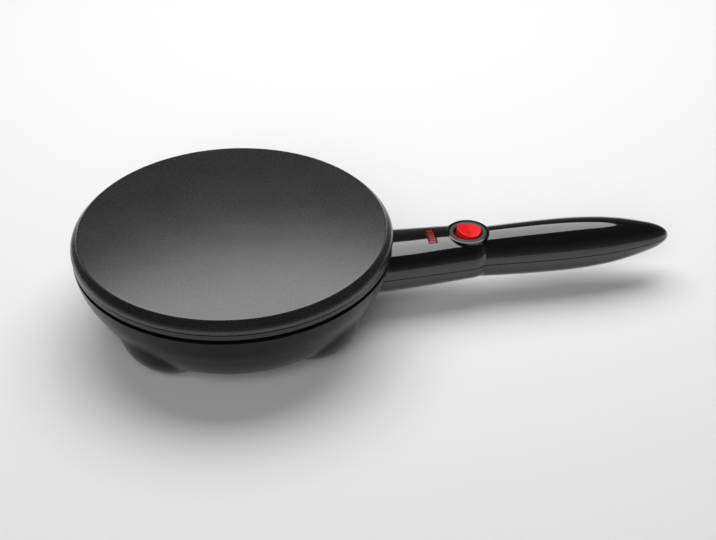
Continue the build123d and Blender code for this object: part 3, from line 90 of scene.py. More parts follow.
# %% [markdown]
# ## Floor and light
# Glossy black plastic is a picture of its lamps. One large soft box overhead, a little behind
# the object, draws the long clean band along the handle and fades over the satin plate. Its
# edges are where those bands end. The surroundings are dim above and lighter near the floor,
# so the front of the handle keeps a quiet sheen. A second lamp, from the front, lifts the matt
# surfaces and the floor. It is hidden from reflections, so the plastic shows the soft box alone.

# %% A material to start from
def new_material(name, base, roughness, metallic=0.0):
    """A node material with plain values on the shader's own sockets."""
    material = bpy.data.materials.new(name)
    material.use_nodes = True
    shader = material.node_tree.nodes["Principled BSDF"]
    shader.inputs["Base Color"].default_value = (*base, 1)
    shader.inputs["Roughness"].default_value = roughness
    shader.inputs["Metallic"].default_value = metallic
    return material, material.node_tree, shader


# %% Floor
FLOOR_SIZE, FLOOR_ROUGHNESS, FLOOR_SHINE = 24.0, 0.9, 0.1
FLOOR_GREY = (0.82, 0.82, 0.82)
bpy.ops.object.select_all(action="DESELECT")
bpy.ops.mesh.primitive_plane_add(size=FLOOR_SIZE)
floor = bpy.context.object
floor.name = "floor"
floor_material, tree, shader = new_material("studio_floor", FLOOR_GREY, FLOOR_ROUGHNESS)
shader.inputs["Specular IOR Level"].default_value = FLOOR_SHINE
floor.data.materials.append(floor_material)

# %% Surroundings
SKY = ((0.0, 0.25), (0.2, 0.12), (0.62, 0.03))      # height in the sky, brightness
world = bpy.data.worlds.new("studio")
scene.world = world
world.use_nodes = True
tree = world.node_tree
direction = tree.nodes.new("ShaderNodeTexCoord")
height = tree.nodes.new("ShaderNodeSeparateXYZ")
ramp = tree.nodes.new("ShaderNodeValToRGB")
tree.links.new(direction.outputs["Generated"], height.inputs["Vector"])
tree.links.new(height.outputs["Z"], ramp.inputs["Fac"])
tree.links.new(ramp.outputs["Color"], tree.nodes["Background"].inputs["Color"])
stops = ramp.color_ramp.elements
stops[0].position, stops[1].position = SKY[0][0], SKY[-1][0]
stops.new(SKY[1][0])
for stop, (place, level) in zip(stops, SKY):
    stop.color = (level, level, level, 1)

# %% Soft box
BOX_Z = 1.035                        # one metre above the handle
BOX_X, BOX_Y = (-0.68, 0.84), (-0.08, 1.18)
BOX_TURN, BOX_POWER = -3.0, 16.0
bpy.ops.object.light_add(type="AREA", location=(sum(BOX_X) / 2, sum(BOX_Y) / 2, BOX_Z))
soft_box = bpy.context.object
soft_box.name = "soft_box"
soft_box.data.shape = "ELLIPSE"
soft_box.data.size = BOX_X[1] - BOX_X[0]
soft_box.data.size_y = BOX_Y[1] - BOX_Y[0]
soft_box.data.energy = BOX_POWER
soft_box.rotation_euler.z = math.radians(BOX_TURN)
print("soft box", soft_box.data.size, "by", soft_box.data.size_y)

# %% Fill from the front, hidden from reflections
FILL_PLACE, FILL_SIZE, FILL_POWER = (-0.7, -1.9, 1.5), 1.6, 30.0
bpy.ops.object.light_add(type="AREA", location=FILL_PLACE)
fill = bpy.context.object
fill.name = "fill"
fill.data.size = FILL_SIZE
fill.data.energy = FILL_POWER
fill.visible_glossy = False
look_at(fill, (0, 0, 0))

# %% [markdown]
# ## Working by hand
# Most pieces start as one point that is extruded into half a section and spun, as on a lathe.
# Others start as a grid that is wrapped into a shell. A section is a list of corners, each with
# its own rounding, because real moulded edges are never sharp.

# %% Small tools for modelling
MERGE = 0.002 * MM                   # points closer than this become one
EDGE_SHARE, ROUND_STEPS = 0.45, 5    # the most of an edge that a rounding takes up, and its steps


def deselect():
    """Select nothing."""
    bpy.ops.object.select_all(action="DESELECT")


def pick(piece):
    """Make one object the selected and active one."""
    deselect()
    piece.select_set(True)
    bpy.context.view_layer.objects.active = piece


def soften(corners, closed=True):
    """Turn corners (radius, height, rounding), in millimetres, into a chain with round turns."""
    chain = []
    for index, (x, z, rounding) in enumerate(corners):
        if rounding == 0 or (not closed and index in (0, len(corners) - 1)):
            chain.append((x, z))
            continue
        here = Vector((x, z))
        before = Vector(corners[index - 1][:2]) - here
        after = Vector(corners[(index + 1) % len(corners)][:2]) - here
        reach = min(rounding, EDGE_SHARE * before.length, EDGE_SHARE * after.length)
        first, last = here + before.normalized() * reach, here + after.normalized() * reach
        for step in range(ROUND_STEPS + 1):
            t = step / ROUND_STEPS
            chain.append(tuple((1 - t) ** 2 * first + 2 * t * (1 - t) * here + t * t * last))
    return chain


def turned(name, chain, s=0.0, y=0.0, closed=True, steps=96):
    """Extrude a chain of points (radius, height) and spin it round an upright axis at (s, y)."""
    deselect()
    axis = Vector(((AXIS_X + s) * MM, y * MM, 0))
    spots = [axis + Vector((radius * MM, 0, z * MM)) for radius, z in chain]
    bpy.ops.mesh.primitive_plane_add(size=MM)
    piece = bpy.context.object
    piece.name = piece.data.name = name
    bpy.ops.object.mode_set(mode="EDIT")
    bpy.ops.mesh.select_all(action="SELECT")
    bpy.ops.mesh.merge(type="CENTER")
    bpy.ops.transform.translate(value=spots[0])
    for here, there in zip(spots, spots[1:]):
        bpy.ops.mesh.extrude_region_move(TRANSFORM_OT_translate={"value": there - here})
    if closed:
        mesh = bmesh.from_edit_mesh(piece.data)
        ends = [v for v in mesh.verts if len(v.link_edges) == 1]
        mesh.edges.new(ends)
        bmesh.update_edit_mesh(piece.data)
    bpy.ops.mesh.select_all(action="SELECT")
    bpy.ops.mesh.spin(steps=steps, angle=2 * math.pi, center=axis, axis=(0, 0, 1))
    bpy.ops.mesh.select_all(action="SELECT")
    bpy.ops.mesh.remove_doubles(threshold=MERGE)
    bpy.ops.mesh.normals_make_consistent(inside=False)
    bpy.ops.object.mode_set(mode="OBJECT")
    return piece


def solid(name, corners, s=0.0, y=0.0, steps=96):
    """Turn a piece without a bore: its section starts and ends on the axis."""
    return turned(name, soften(corners, closed=False), s, y, closed=False, steps=steps)


def wrapped(name, rings):
    """Wrap a grid over rings of points given in millimetres; every ring has as many points."""
    deselect()
    along, across = len(rings) - 1, len(rings[0]) - 1
    bpy.ops.mesh.primitive_grid_add(x_subdivisions=along, y_subdivisions=across, size=1)
    piece = bpy.context.object
    piece.name = piece.data.name = name
    for vertex in piece.data.vertices:
        ring = rings[round((vertex.co.x + 0.5) * along)]
        vertex.co = Vector(ring[round((vertex.co.y + 0.5) * across)]) * MM
    bpy.ops.object.mode_set(mode="EDIT")
    bpy.ops.mesh.select_all(action="SELECT")
    bpy.ops.mesh.remove_doubles(threshold=MERGE)
    bpy.ops.object.mode_set(mode="OBJECT")
    return piece


def shift(x, y, z):
    """A move given in millimetres."""
    return Matrix.Translation(Vector((x, y, z)) * MM)


def copied(pattern, name, *moves):
    """A copy of a piece with a mesh of its own, moved by each matrix in turn."""
    piece = pattern.copy()
    piece.data = pattern.data.copy()
    piece.name = piece.data.name = name
    for move in moves:
        piece.data.transform(move)
    scene.collection.objects.link(piece)
    return piece


def apply(piece, kind, **settings):
    """Add a modifier with these settings and apply it."""
    tool = piece.modifiers.new(kind.lower(), kind)
    for name, value in settings.items():
        setattr(tool, name, value)
    pick(piece)
    bpy.ops.object.modifier_apply(modifier=tool.name)


def round_edges(piece, width, least_angle):
    """Bevel the edges that turn by more than an angle."""
    apply(piece, "BEVEL", width=width * MM, segments=2, limit_method="ANGLE",
          angle_limit=math.radians(least_angle))


def cut(piece, cutter, operation="DIFFERENCE"):
    """Boolean with another object, which is used up."""
    apply(piece, "BOOLEAN", object=cutter, operation=operation, solver="EXACT")
    bpy.data.objects.remove(cutter)


def join(piece, *others):
    """Join objects into the first."""
    pick(piece)
    for other in others:
        other.select_set(True)
    bpy.ops.object.join()


def finish_piece(piece, body, material, replaces=(), angle=35):
    """Smooth shading, material, the body it rides on and the nodes it stands for."""
    pick(piece)
    bpy.ops.object.shade_smooth_by_angle(angle=math.radians(angle))
    piece.data.materials.clear()
    piece.data.materials.append(material)
    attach(piece, body)
    if replaces:
        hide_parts(*replaces)
    print(piece.name, len(piece.data.polygons), "faces")


# %% [markdown]
# ## Surface effects shared by all materials
# Even a new moulding has life in it: its colour and gloss drift a little, and its skin has a
# fine texture. This is one node group with named inputs. A second group scatters the specks of
# a non-stick coating, and a third gives the fine parallel scratches of drawn or ground metal.

# %% Node groups
FLOAT, COLOUR = "NodeSocketFloat", "NodeSocketColor"


def node_group(name, inputs, outputs):
    """An empty shader group with float or colour sockets."""
    group = bpy.data.node_groups.new(name, "ShaderNodeTree")
    for label, kind, value in inputs:
        socket = group.interface.new_socket(label, in_out="INPUT", socket_type=kind)
        socket.default_value = value
    for label, kind in outputs:
        group.interface.new_socket(label, in_out="OUTPUT", socket_type=kind)
    return group, group.nodes.new("NodeGroupInput"), group.nodes.new("NodeGroupOutput")


def add(tree, kind, links=(), **values):
    """Add a node, set its plain inputs by name and link others: (input, node, output)."""
    node = tree.nodes.new("ShaderNode" + kind)
    for name, value in values.items():
        label = name.replace("_", " ")
        if label in node.inputs:
            node.inputs[label].default_value = value
        else:
            setattr(node, name, value)
    for socket, other, output in links:
        tree.links.new(other.outputs[output], node.inputs[socket])
    return node


skin, enter, leave = node_group(
    "moulded_skin",
    (("Color", COLOUR, (0.5, 0.5, 0.5, 1)), ("Shade Drift", FLOAT, 0.1),
     ("Roughness", FLOAT, 0.3), ("Gloss Drift", FLOAT, 0.05), ("Grain Scale", FLOAT, 900.0)),
    (("Color", COLOUR), ("Roughness", FLOAT), ("Height", FLOAT)),
)
place = add(skin, "TexCoord")
drift = add(skin, "TexNoise", [("Vector", place, "Object")], Scale=35.0, Detail=3.0)
grain = add(skin, "TexNoise", [("Vector", place, "Object"), ("Scale", enter, "Grain Scale")],
            Detail=2.0)
swing = add(skin, "Math", [(0, drift, "Fac")], operation="SUBTRACT")
swing.inputs[1].default_value = 0.5
shade = add(skin, "Math", [(0, swing, "Value"), (1, enter, "Shade Drift")], operation="MULTIPLY")
shade_up = add(skin, "Math", [(0, shade, "Value")], operation="ADD")
shade_up.inputs[1].default_value = 1.0
tint = add(skin, "VectorMath", [(0, enter, "Color"), ("Scale", shade_up, "Value")],
           operation="SCALE")
gloss = add(skin, "Math", [(0, swing, "Value"), (1, enter, "Gloss Drift"),
                           (2, enter, "Roughness")], operation="MULTIPLY_ADD")
skin.links.new(tint.outputs["Vector"], leave.inputs["Color"])
skin.links.new(gloss.outputs["Value"], leave.inputs["Roughness"])
skin.links.new(grain.outputs["Fac"], leave.inputs["Height"])

specks, enter, leave = node_group(
    "coating_specks", (("Scale", FLOAT, 1400.0), ("Cover", FLOAT, 0.3)), (("Mask", FLOAT),)
)
place = add(specks, "TexCoord")
cells = add(specks, "TexVoronoi", [("Vector", place, "Object"), ("Scale", enter, "Scale")])
mask = add(specks, "MapRange", [("Value", cells, "Distance"), ("From Min", enter, "Cover")],
           From_Max=0.0)
specks.links.new(mask.outputs["Result"], leave.inputs["Mask"])

lay, enter, leave = node_group("metal_lay", (("Scale", FLOAT, 600.0),), (("Mask", FLOAT),))
place = add(lay, "TexCoord")
stretch = add(lay, "Mapping", [("Vector", place, "Object")], Scale=(1.0, 0.06, 1.0))
lines = add(lay, "TexNoise", [("Vector", stretch, "Vector"), ("Scale", enter, "Scale")],
            Detail=3.0)
lay.links.new(lines.outputs["Fac"], leave.inputs["Mask"])
print("groups", [group.name for group in bpy.data.node_groups])


# %% A finish made from the shared skin
def shared(tree, group, **values):
    """One of the shared groups as a node of a material, with its inputs set."""
    node = tree.nodes.new("ShaderNodeGroup")
    node.node_tree = group
    for label, value in values.items():
        node.inputs[label.replace("_", " ")].default_value = value
    return node


def finish(name, base, roughness, metallic=0.0, drift=0.12, gloss=0.06, grain=900.0, bump=0.02,
           height=0.02, **sockets):
    """A material with the shared skin's colour, gloss and grain; other sockets are plain."""
    material, tree, shader = new_material(name, base, roughness, metallic)
    surface = shared(tree, skin, Color=(*base, 1), Shade_Drift=drift, Roughness=roughness,
                     Gloss_Drift=gloss, Grain_Scale=grain)
    relief = add(tree, "Bump", [("Height", surface, "Height")], Strength=bump,
                 Distance=height * MM)
    tree.links.new(surface.outputs["Color"], shader.inputs["Base Color"])
    tree.links.new(surface.outputs["Roughness"], shader.inputs["Roughness"])
    tree.links.new(relief.outputs["Normal"], shader.inputs["Normal"])
    for label, value in sockets.items():
        shader.inputs[label.replace("_", " ")].default_value = value
    return material


def over(material, group, amount, target, colour=None, **values):
    """Lay a shared effect over a finish: mix a colour in, or shift the roughness, by its mask."""
    tree = material.node_tree
    shader = tree.nodes["Principled BSDF"]
    effect = shared(tree, group, **values)
    source = shader.inputs[target].links[0].from_socket
    share = add(tree, "Math", [(0, effect, "Mask")], operation="MULTIPLY")
    share.inputs[1].default_value = amount
    if target == "Roughness":
        mixed = add(tree, "Math", [(1, share, "Value")], operation="ADD")
        tree.links.new(source, mixed.inputs[0])
        tree.links.new(mixed.outputs["Value"], shader.inputs[target])
    else:
        mixed = tree.nodes.new("ShaderNodeMix")
        mixed.data_type = "RGBA"
        tree.links.new(share.outputs["Value"], mixed.inputs["Factor"])
        tree.links.new(source, mixed.inputs["A"])
        mixed.inputs["B"].default_value = (*colour, 1)
        tree.links.new(mixed.outputs["Result"], shader.inputs[target])


# %% Finishes
gloss_black = finish("gloss_black", (0.005, 0.005, 0.0055), 0.09, drift=0.1, gloss=0.05,
                     grain=420.0, bump=0.012, height=0.03, IOR=1.45, Coat_Weight=0.9,
                     Coat_Roughness=0.04, Coat_IOR=1.5)
satin_black = finish("satin_black", (0.006, 0.006, 0.0065), 0.22, drift=0.1, gloss=0.08,
                     bump=0.04, height=0.03, IOR=1.32)
plate_coating = finish("nonstick_coating", (0.009, 0.009, 0.0095), 0.25, drift=0.15,
                       grain=1500.0, bump=0.2, height=0.05, IOR=1.68)
over(plate_coating, specks, 0.1, "Base Color", (0.16, 0.16, 0.165), Scale=1300.0, Cover=0.32)
over(plate_coating, specks, 0.12, "Roughness", Scale=1300.0, Cover=0.45)
rim_black = finish("rim_black", (0.014, 0.014, 0.015), 0.32, grain=1100.0, bump=0.1, height=0.03)
bezel_grey = finish("bezel_grey", (0.022, 0.023, 0.025), 0.36, grain=1300.0, bump=0.08)
rocker_red = finish("rocker_red", (0.85, 0.003, 0.01), 0.2, drift=0.06, grain=500.0, bump=0.01,
                    Coat_Weight=0.25, Coat_Roughness=0.05)
lens_red = finish("lens_red", (0.15, 0.003, 0.006), 0.16, drift=0.1, grain=500.0, bump=0.01)
pad_rubber = finish("pad_rubber", (0.035, 0.035, 0.036), 0.75, grain=1500.0, bump=0.3,
                    height=0.05)
zinc = finish("zinc_steel", (0.56, 0.57, 0.58), 0.34, metallic=1.0, bump=0.1)
over(zinc, lay, 0.15, "Roughness", Scale=900.0)

# %% [markdown]
# ## Cooking plate
# A shallow dome with a small step down to a ring, then a rounded shoulder and a skirt. It is a
# lathe part, so half its section is drawn and spun. The step is a real edge, which catches the
# dark line round the cooking surface. The skirt's lower edge is undercut, and the shadow there
# parts the plate from the collar.

# %% Cooking plate
PLATE_RADIUS, CROWN_Z, SURFACE_Z, DOME_RADIUS, PLATE_WALL = 100.0, 74.0, 70.0, 1252.0, 4.0


def dome(radius, drop=0.0):
    """Height of the dome's surface, or of one below it."""
    return CROWN_Z - drop - (DOME_RADIUS - math.sqrt(DOME_RADIUS ** 2 - radius ** 2))


top_line = [(radius, dome(radius), 0) for radius in (0, 4, 12, 24, 36, 48, 60, 70, 80, 88, 94, 98)]
edge_line = [
    (PLATE_RADIUS, SURFACE_Z, 0.6), (100.4, 69.2, 0.2), (103.4, 66.7, 1.2), (104.5, 64.2, 0.8),
    (104.5, 62.0, 0.3), (103.3, 61.8, 0.15), (103.3, 61.0, 0.1), (101.0, 61.0, 0.5),
    (101.0, 64.0, 0.5), (97.5, 65.8, 0.5),
]
under_line = [(radius, dome(radius, PLATE_WALL), 0) for radius in (90, 70, 45, 20, 0)]
hot_plate = solid("hot_plate", top_line + edge_line + under_line, steps=160)
finish_piece(hot_plate, "housing", plate_coating, ["cooking_plate"], angle=25)

# %% [markdown]
# ## Bowl
# The wall and floor are spun, and then four balls are pressed out of them as feet. A smooth
# union of two shapes is easy where each point moves out along its own normal until it stands on
# whichever shape is further out, with a little softness where the two meet.

# %% Bowl sizes
BOWL_TOP, BOWL_FLOOR, BOWL_WALL, BOWL_EDGE = 55.0, 9.0, 2.6, 0.6
BOWL_LINE = (                        # the outside, from the top down: radius, height
    (104.0, BOWL_TOP), (103.2, 50.0), (101.9, 45.0), (99.8, 40.0), (97.2, 35.0), (94.5, 30.0),
    (91.5, 25.0), (88.8, 21.0), (85.7, 17.0), (82.0, 14.0), (77.0, 11.5), (71.0, 9.8),
    (64.0, BOWL_FLOOR),
)
SOCKET_RADIUS, SEAT_RADIUS, SEAT_Z = 21.4, 29.0, 13.0


def bowl_radius(z):
    """Radius of the bowl's outside at a height."""
    for (r_high, high), (r_low, low) in zip(BOWL_LINE, BOWL_LINE[1:]):
        if low <= z <= high:
            return r_low + (r_high - r_low) * (z - low) / (high - low)
    return BOWL_LINE[0][0] if z > BOWL_TOP else BOWL_LINE[-1][0]


def smooth_line(points, steps):
    """A smooth curve through points (Catmull and Rom's), as more points."""
    line = []
    padded = [points[0], *points, points[-1]]
    for a, b, c, d in zip(padded, padded[1:], padded[2:], padded[3:]):
        for step in range(steps):
            t = step / steps
            line.append(tuple(
                0.5 * (2 * q + (r - p) * t + (2 * p - 5 * q + 4 * r - s) * t * t
                       + (3 * q - p - 3 * r + s) * t ** 3)
                for p, q, r, s in zip(a, b, c, d)
            ))
    return line + [points[-1]]


# %% Bowl body
# The floor is given close rings as well, because the feet are pressed out of it too.
inner_floor = BOWL_FLOOR + BOWL_WALL
floor_line = [(SOCKET_RADIUS, BOWL_FLOOR, 0.5)]
floor_line += [(radius, BOWL_FLOOR, 0) for radius in range(24, 64, 2)]
wall_line = [(radius, z, 0) for radius, z in reversed(smooth_line(BOWL_LINE, 6)[1:])]
rim_line = [(radius, BOWL_TOP, BOWL_EDGE)
            for radius in (BOWL_LINE[0][0], BOWL_LINE[0][0] - BOWL_WALL)]
inner_line = [(99.3, 46.0, 0), (94.6, 36.0, 0), (88.9, 26.0, 0), (83.5, 19.0, 0), (76.0, 14.2, 0),
              (61.0, inner_floor, 0)]
seat_line = [(SEAT_RADIUS, inner_floor, 0), (SEAT_RADIUS, SEAT_Z, 0), (SOCKET_RADIUS, SEAT_Z, 0)]
bowl_line = soften(floor_line + wall_line + rim_line + inner_line + seat_line)
bowl = turned("bowl_shell", bowl_line, steps=360)
print("bowl", len(bowl.data.vertices), "points")

# %% Feet pressed out of the bowl
FOOT_RADIUS, FOOT_SPREAD, FOOT_CENTRE_Z, FOOT_FLAT_Z = 35.2, 43.35, 33.3, 1.5
CREASE, FLAT_EDGE = 1.1, 0.8         # softness where a foot meets the bowl, and round its flat
FOOT_ZONE, FOOT_TOP_Z = 12.0, 50.0   # only points this near a ball, and below this height, move
SKIN_DEPTH, UNDERSIDE_Z = 0.6, 9.3   # what counts as the outside of the wall and of the floor
LONGEST_MOVE, TRIES = 16.0, 24


def soft_min(a, b, k):
    """The smaller of two, rounded where they are close."""
    h = max(k - abs(a - b), 0.0) / k
    return min(a, b) - h * h * k / 4


def on_foot(point, normal, centre):
    """How far along its normal a point stands on the softened union with a foot's ball."""
    reach = LONGEST_MOVE
    for _ in range(TRIES):
        reach -= soft_min(reach, (point + normal * reach - centre).length - FOOT_RADIUS, CREASE)
    return max(reach, 0.0)


outside = {v.index for v in bowl.data.vertices
           if (v.co.xy - Vector((AXIS_X * MM, 0))).length / MM
           > bowl_radius(v.co.z / MM) - SKIN_DEPTH or v.co.z / MM < UNDERSIDE_Z}
normals = {v.index: v.normal.copy() for v in bowl.data.vertices}
for index in outside:
    vertex = bowl.data.vertices[index]
    point = vertex.co / MM
    foot_x = AXIS_X + (FOOT_SPREAD if point.x > AXIS_X else -FOOT_SPREAD)
    centre = Vector((foot_x, FOOT_SPREAD if point.y > 0 else -FOOT_SPREAD, FOOT_CENTRE_Z))
    if (point - centre).length < FOOT_RADIUS + FOOT_ZONE and point.z < FOOT_TOP_Z:
        moved = point + normals[index] * on_foot(point, normals[index], centre)
        moved.z = -soft_min(-moved.z, -FOOT_FLAT_Z, FLAT_EDGE)
        vertex.co = moved * MM

# %% [markdown]
# ## Screw wells
# A boolean is unsure where two faces lie on each other, and may then give another mesh in every
# run. So a post is added as a solid that starts and ends inside material or in free air, and is
# drilled afterwards. Each drill runs past both ends of its post.

# %% Screw wells in the bowl's floor
WELL_CIRCLE, WELL_RADIUS, WELL_TOP, WELL_ROOF = 48.0, 3.7, 40.0, 1.0
POST_RADIUS, POST_FOOT, SCREW_HOLE = 5.5, 10.3, 1.8
PAST, WELL_STEPS = 5.0, 32           # how far drills run past a post; sides of a well


def post_line(radius, foot, top):
    """Section of a post."""
    return [(0, foot, 0), (radius, foot, 0), (radius, top, 0), (0, top, 0)]


def drill_line(radius, seat, hole, top):
    """Section of a drill for a well that is open below, with a narrow hole above its seat."""
    return [(0, 0, 0), (radius, 0, 0), (radius, seat, 0), (hole, seat, 0), (hole, top, 0),
            (0, top, 0)]


def in_all_wells(name, line):
    """One object with a turned copy of a section in each of the bowl's four wells."""
    spots = ((WELL_CIRCLE, 0), (0, WELL_CIRCLE), (-WELL_CIRCLE, 0), (0, -WELL_CIRCLE))
    pieces = [solid(name, line, s, y, steps=WELL_STEPS) for s, y in spots]
    join(*pieces)
    return pieces[0]


cut(bowl, in_all_wells("post", post_line(POST_RADIUS, POST_FOOT, WELL_TOP)), "UNION")
cut(bowl, in_all_wells("drill", drill_line(WELL_RADIUS, WELL_TOP - WELL_ROOF, SCREW_HOLE,
                                           WELL_TOP + PAST)))
finish_piece(bowl, "housing", satin_black, ["bowl"], angle=40)

# %% [markdown]
# ## Handle
# Two shells meet on one level seam. The neck is a squarish oval that ends in a rounded
# shoulder, and the grip is round and tapers to a blunt nose. Both are wrapped from rings whose
# points stand at even angles, and the larger of neck and grip wins at each angle.

# %% Handle sections
SEAM_Z, SEAM_GAP, SHELL_WALL = 31.4, 0.5, 2.2
NECK_END, SHOULDER, TIP = 158.5, 8.7, 300.0
NECK = (                             # distance, half width, height and depth from the axis
    (82.0, 25.0, 17.7, 19.5), (114.9, 22.9, 16.8, 18.6), (143.2, 20.9, 17.0, 16.8),
    (NECK_END, 19.7, 16.6, 15.8), (170.0, 18.8, 16.3, 15.0),
)
GRIP = (                             # distance, radius
    (150.0, 14.6), (164.0, 16.3), (178.96, 17.1), (207.5, 17.85), (230.6, 17.8), (251.0, 16.5),
    (265.3, 14.5), (280.0, 11.2), (288.7, 8.8), (295.6, 5.7), (TIP, 0.0),
)
GRIP_SQUARES = [(s, radius * radius) for s, radius in GRIP]    # these keep the nose round
TOP_SQUARE, LOW_SQUARE = 2.55, 2.0   # 2 is an oval, and more is squarer
SHOULDER_CREASE, SHOULDER_SINK = 1.2, 1.5
ROOT_TRIES, ROOT_SINK = 30, 0.4


def between(table, s):
    """Values of a table at a distance s, on a smooth curve through its rows."""
    rows = [table[0], *table, table[-1]]
    index = max(i for i in range(len(table)) if table[i][0] <= s or i == 0)
    index = min(index, len(table) - 2)
    a, b, c, d = rows[index:index + 4]
    t = (s - b[0]) / (c[0] - b[0])
    values = []
    for p, q, r, e in zip(a[1:], b[1:], c[1:], d[1:]):
        before = (r - p) / (c[0] - a[0]) * (c[0] - b[0])
        after = (e - q) / (d[0] - b[0]) * (c[0] - b[0])
        values.append((2 * t ** 3 - 3 * t * t + 1) * q + (t ** 3 - 2 * t * t + t) * before
                      + (3 * t * t - 2 * t ** 3) * r + (t ** 3 - t * t) * after)
    return values


def handle_reach(s, angle):
    """Distance from the handle's axis to its surface at an angle, 0 towards +Y and 90 up."""
    c, e = abs(math.cos(angle)), abs(math.sin(angle))
    grip = math.sqrt(max(between(GRIP_SQUARES, s)[0], 0.0)) if s > GRIP[0][0] else 0.0
    if s >= NECK_END + SHOULDER:
        return grip
    width, up, down = between(NECK, s)
    height, power = (up, TOP_SQUARE) if math.sin(angle) >= 0 else (down, LOW_SQUARE)
    neck = ((c / width) ** power + (e / height) ** power) ** (-1 / power)
    if s > NECK_END:
        fall = math.sqrt(max(1 - ((s - NECK_END) / SHOULDER) ** 2, 0))
        neck = grip - SHOULDER_SINK + (neck - grip + SHOULDER_SINK) * fall
    return -soft_min(-neck, -grip, SHOULDER_CREASE)


def handle_point(s, angle, seam_step=0.0):
    """A point of the surface, with the seam's half gap left open."""
    reach = handle_reach(s, angle)
    return (AXIS_X + s, reach * math.cos(angle), SEAM_Z + seam_step + reach * math.sin(angle))


def root_s(angle):
    """Where the handle's surface meets the bowl's, and a little inside it."""
    s = 100.0
    for _ in range(ROOT_TRIES):
        reach = handle_reach(s, angle)
        y, z = reach * math.cos(angle), SEAM_Z + reach * math.sin(angle)
        s = 0.5 * s + 0.5 * math.sqrt(max(bowl_radius(z) ** 2 - y * y, 1.0))
    return s - ROOT_SINK


# %% Handle shells
ROOT_RINGS, PLAIN_S, HALF_STEPS = 10, 112.0, 56
NECK_STEP, GRIP_STEP, SHOULDER_PAST = 1.6, 1.95, 0.25
SEAM_EDGE, SEAM_ANGLE = 0.25, 60
shoulder_end = NECK_END + SHOULDER
ring_stops = [PLAIN_S + step * NECK_STEP for step in range(32)]
ring_stops += [NECK_END + SHOULDER * math.sin(math.radians(turn))
               for turn in (12, 25, 38, 50, 60, 70, 78, 84, 90)]
ring_stops += [shoulder_end + SHOULDER_PAST + step * GRIP_STEP for step in range(62)]
ring_stops += [289.5, 291, 292.5, 294, 295.4, 296.7, 297.7, 298.5, 299.1, 299.5, 299.8, 299.95, TIP]
ring_stops.sort()


def half_shell(name, low_angle, high_angle, seam_step):
    """One shell of the handle: an open skin that is given its wall and rounded seam edges."""
    angles = [math.radians(low_angle + (high_angle - low_angle) * step / HALF_STEPS)
              for step in range(HALF_STEPS + 1)]
    rings = []
    for step in range(ROOT_RINGS):
        share = step / ROOT_RINGS
        rings.append([handle_point(root_s(a) * (1 - share) + PLAIN_S * share, a, seam_step)
                      for a in angles])
    rings += [[handle_point(s, a, seam_step) for a in angles] for s in ring_stops]
    shell = wrapped(name, rings)
    middle = shell.data.polygons[len(shell.data.polygons) // 2]
    outward = middle.normal.dot(Vector((0, middle.center.y, middle.center.z - SEAM_Z * MM)))
    if outward < 0:
        shell.data.flip_normals()
    apply(shell, "SOLIDIFY", thickness=SHELL_WALL * MM, offset=-1.0)
    round_edges(shell, SEAM_EDGE, SEAM_ANGLE)
    return shell


handle_top = half_shell("handle_top", 0, 180, SEAM_GAP / 2)
handle_base = half_shell("handle_base", 180, 360, -SEAM_GAP / 2)

# %% [markdown]
# ## Switch turret and lamp window
# The turret widens upwards, so it can't be pulled out of the shell. A solid cone is joined to
# the shell first. Then one turned cutter clears the bore, the recess for the bezel and a bevel
# round the rim. The lamp window is cut with a block that has rounded corners.

# %% Turret
TURRET_S, TURRET_Z, RECESS_Z = 157.6, 49.2, 46.8
turret = solid("turret", [
    (0, 35.5, 0), (10.3, 35.5, 0), (14.5, 48.75, 0.15), (13.5, TURRET_Z, 0.15), (0, TURRET_Z, 0),
], TURRET_S)
clearing = solid("clearing", [
    (0, 34, 0), (10.95, 34, 0), (10.95, RECESS_Z, 0), (13.2, RECESS_Z, 0), (13.2, 48.9, 0),
    (14.3, 50.0, 0), (14.3, 60, 0), (0, 60, 0),
], TURRET_S)
cut(handle_top, turret, "UNION")
cut(handle_top, clearing)

# %% Window opening
WINDOW_S, WINDOW_SIZE, WINDOW_ROUND = 132.2, (6.2, 17.6), 0.6
WINDOW_CUT_HEIGHT, WINDOW_CUT_Z = 12, 47.5


def block(name, size, centre, rounding, segments=4):
    """A block with rounded upright edges, in millimetres."""
    deselect()
    bpy.ops.mesh.primitive_cube_add(size=1, location=Vector(centre) * MM, scale=Vector(size) * MM)
    piece = bpy.context.object
    piece.name = piece.data.name = name
    bpy.ops.object.transform_apply(location=True, rotation=True, scale=True)
    bpy.ops.object.mode_set(mode="EDIT")
    mesh = bmesh.from_edit_mesh(piece.data)
    bpy.ops.mesh.select_mode(type="EDGE")
    for edge in mesh.edges:
        edge.select_set(abs(edge.verts[0].co.z - edge.verts[1].co.z) > 0.5 * size[2] * MM)
    bmesh.update_edit_mesh(piece.data)
    bpy.ops.mesh.bevel(offset=rounding * MM, segments=segments)
    bpy.ops.mesh.select_mode(type="VERT")
    bpy.ops.object.mode_set(mode="OBJECT")
    return piece


cut(handle_top, block("window_cutter", (*WINDOW_SIZE, WINDOW_CUT_HEIGHT),
                      (AXIS_X + WINDOW_S, 0, WINDOW_CUT_Z), WINDOW_ROUND))
finish_piece(handle_top, "housing", gloss_black, ["handle_upper"])

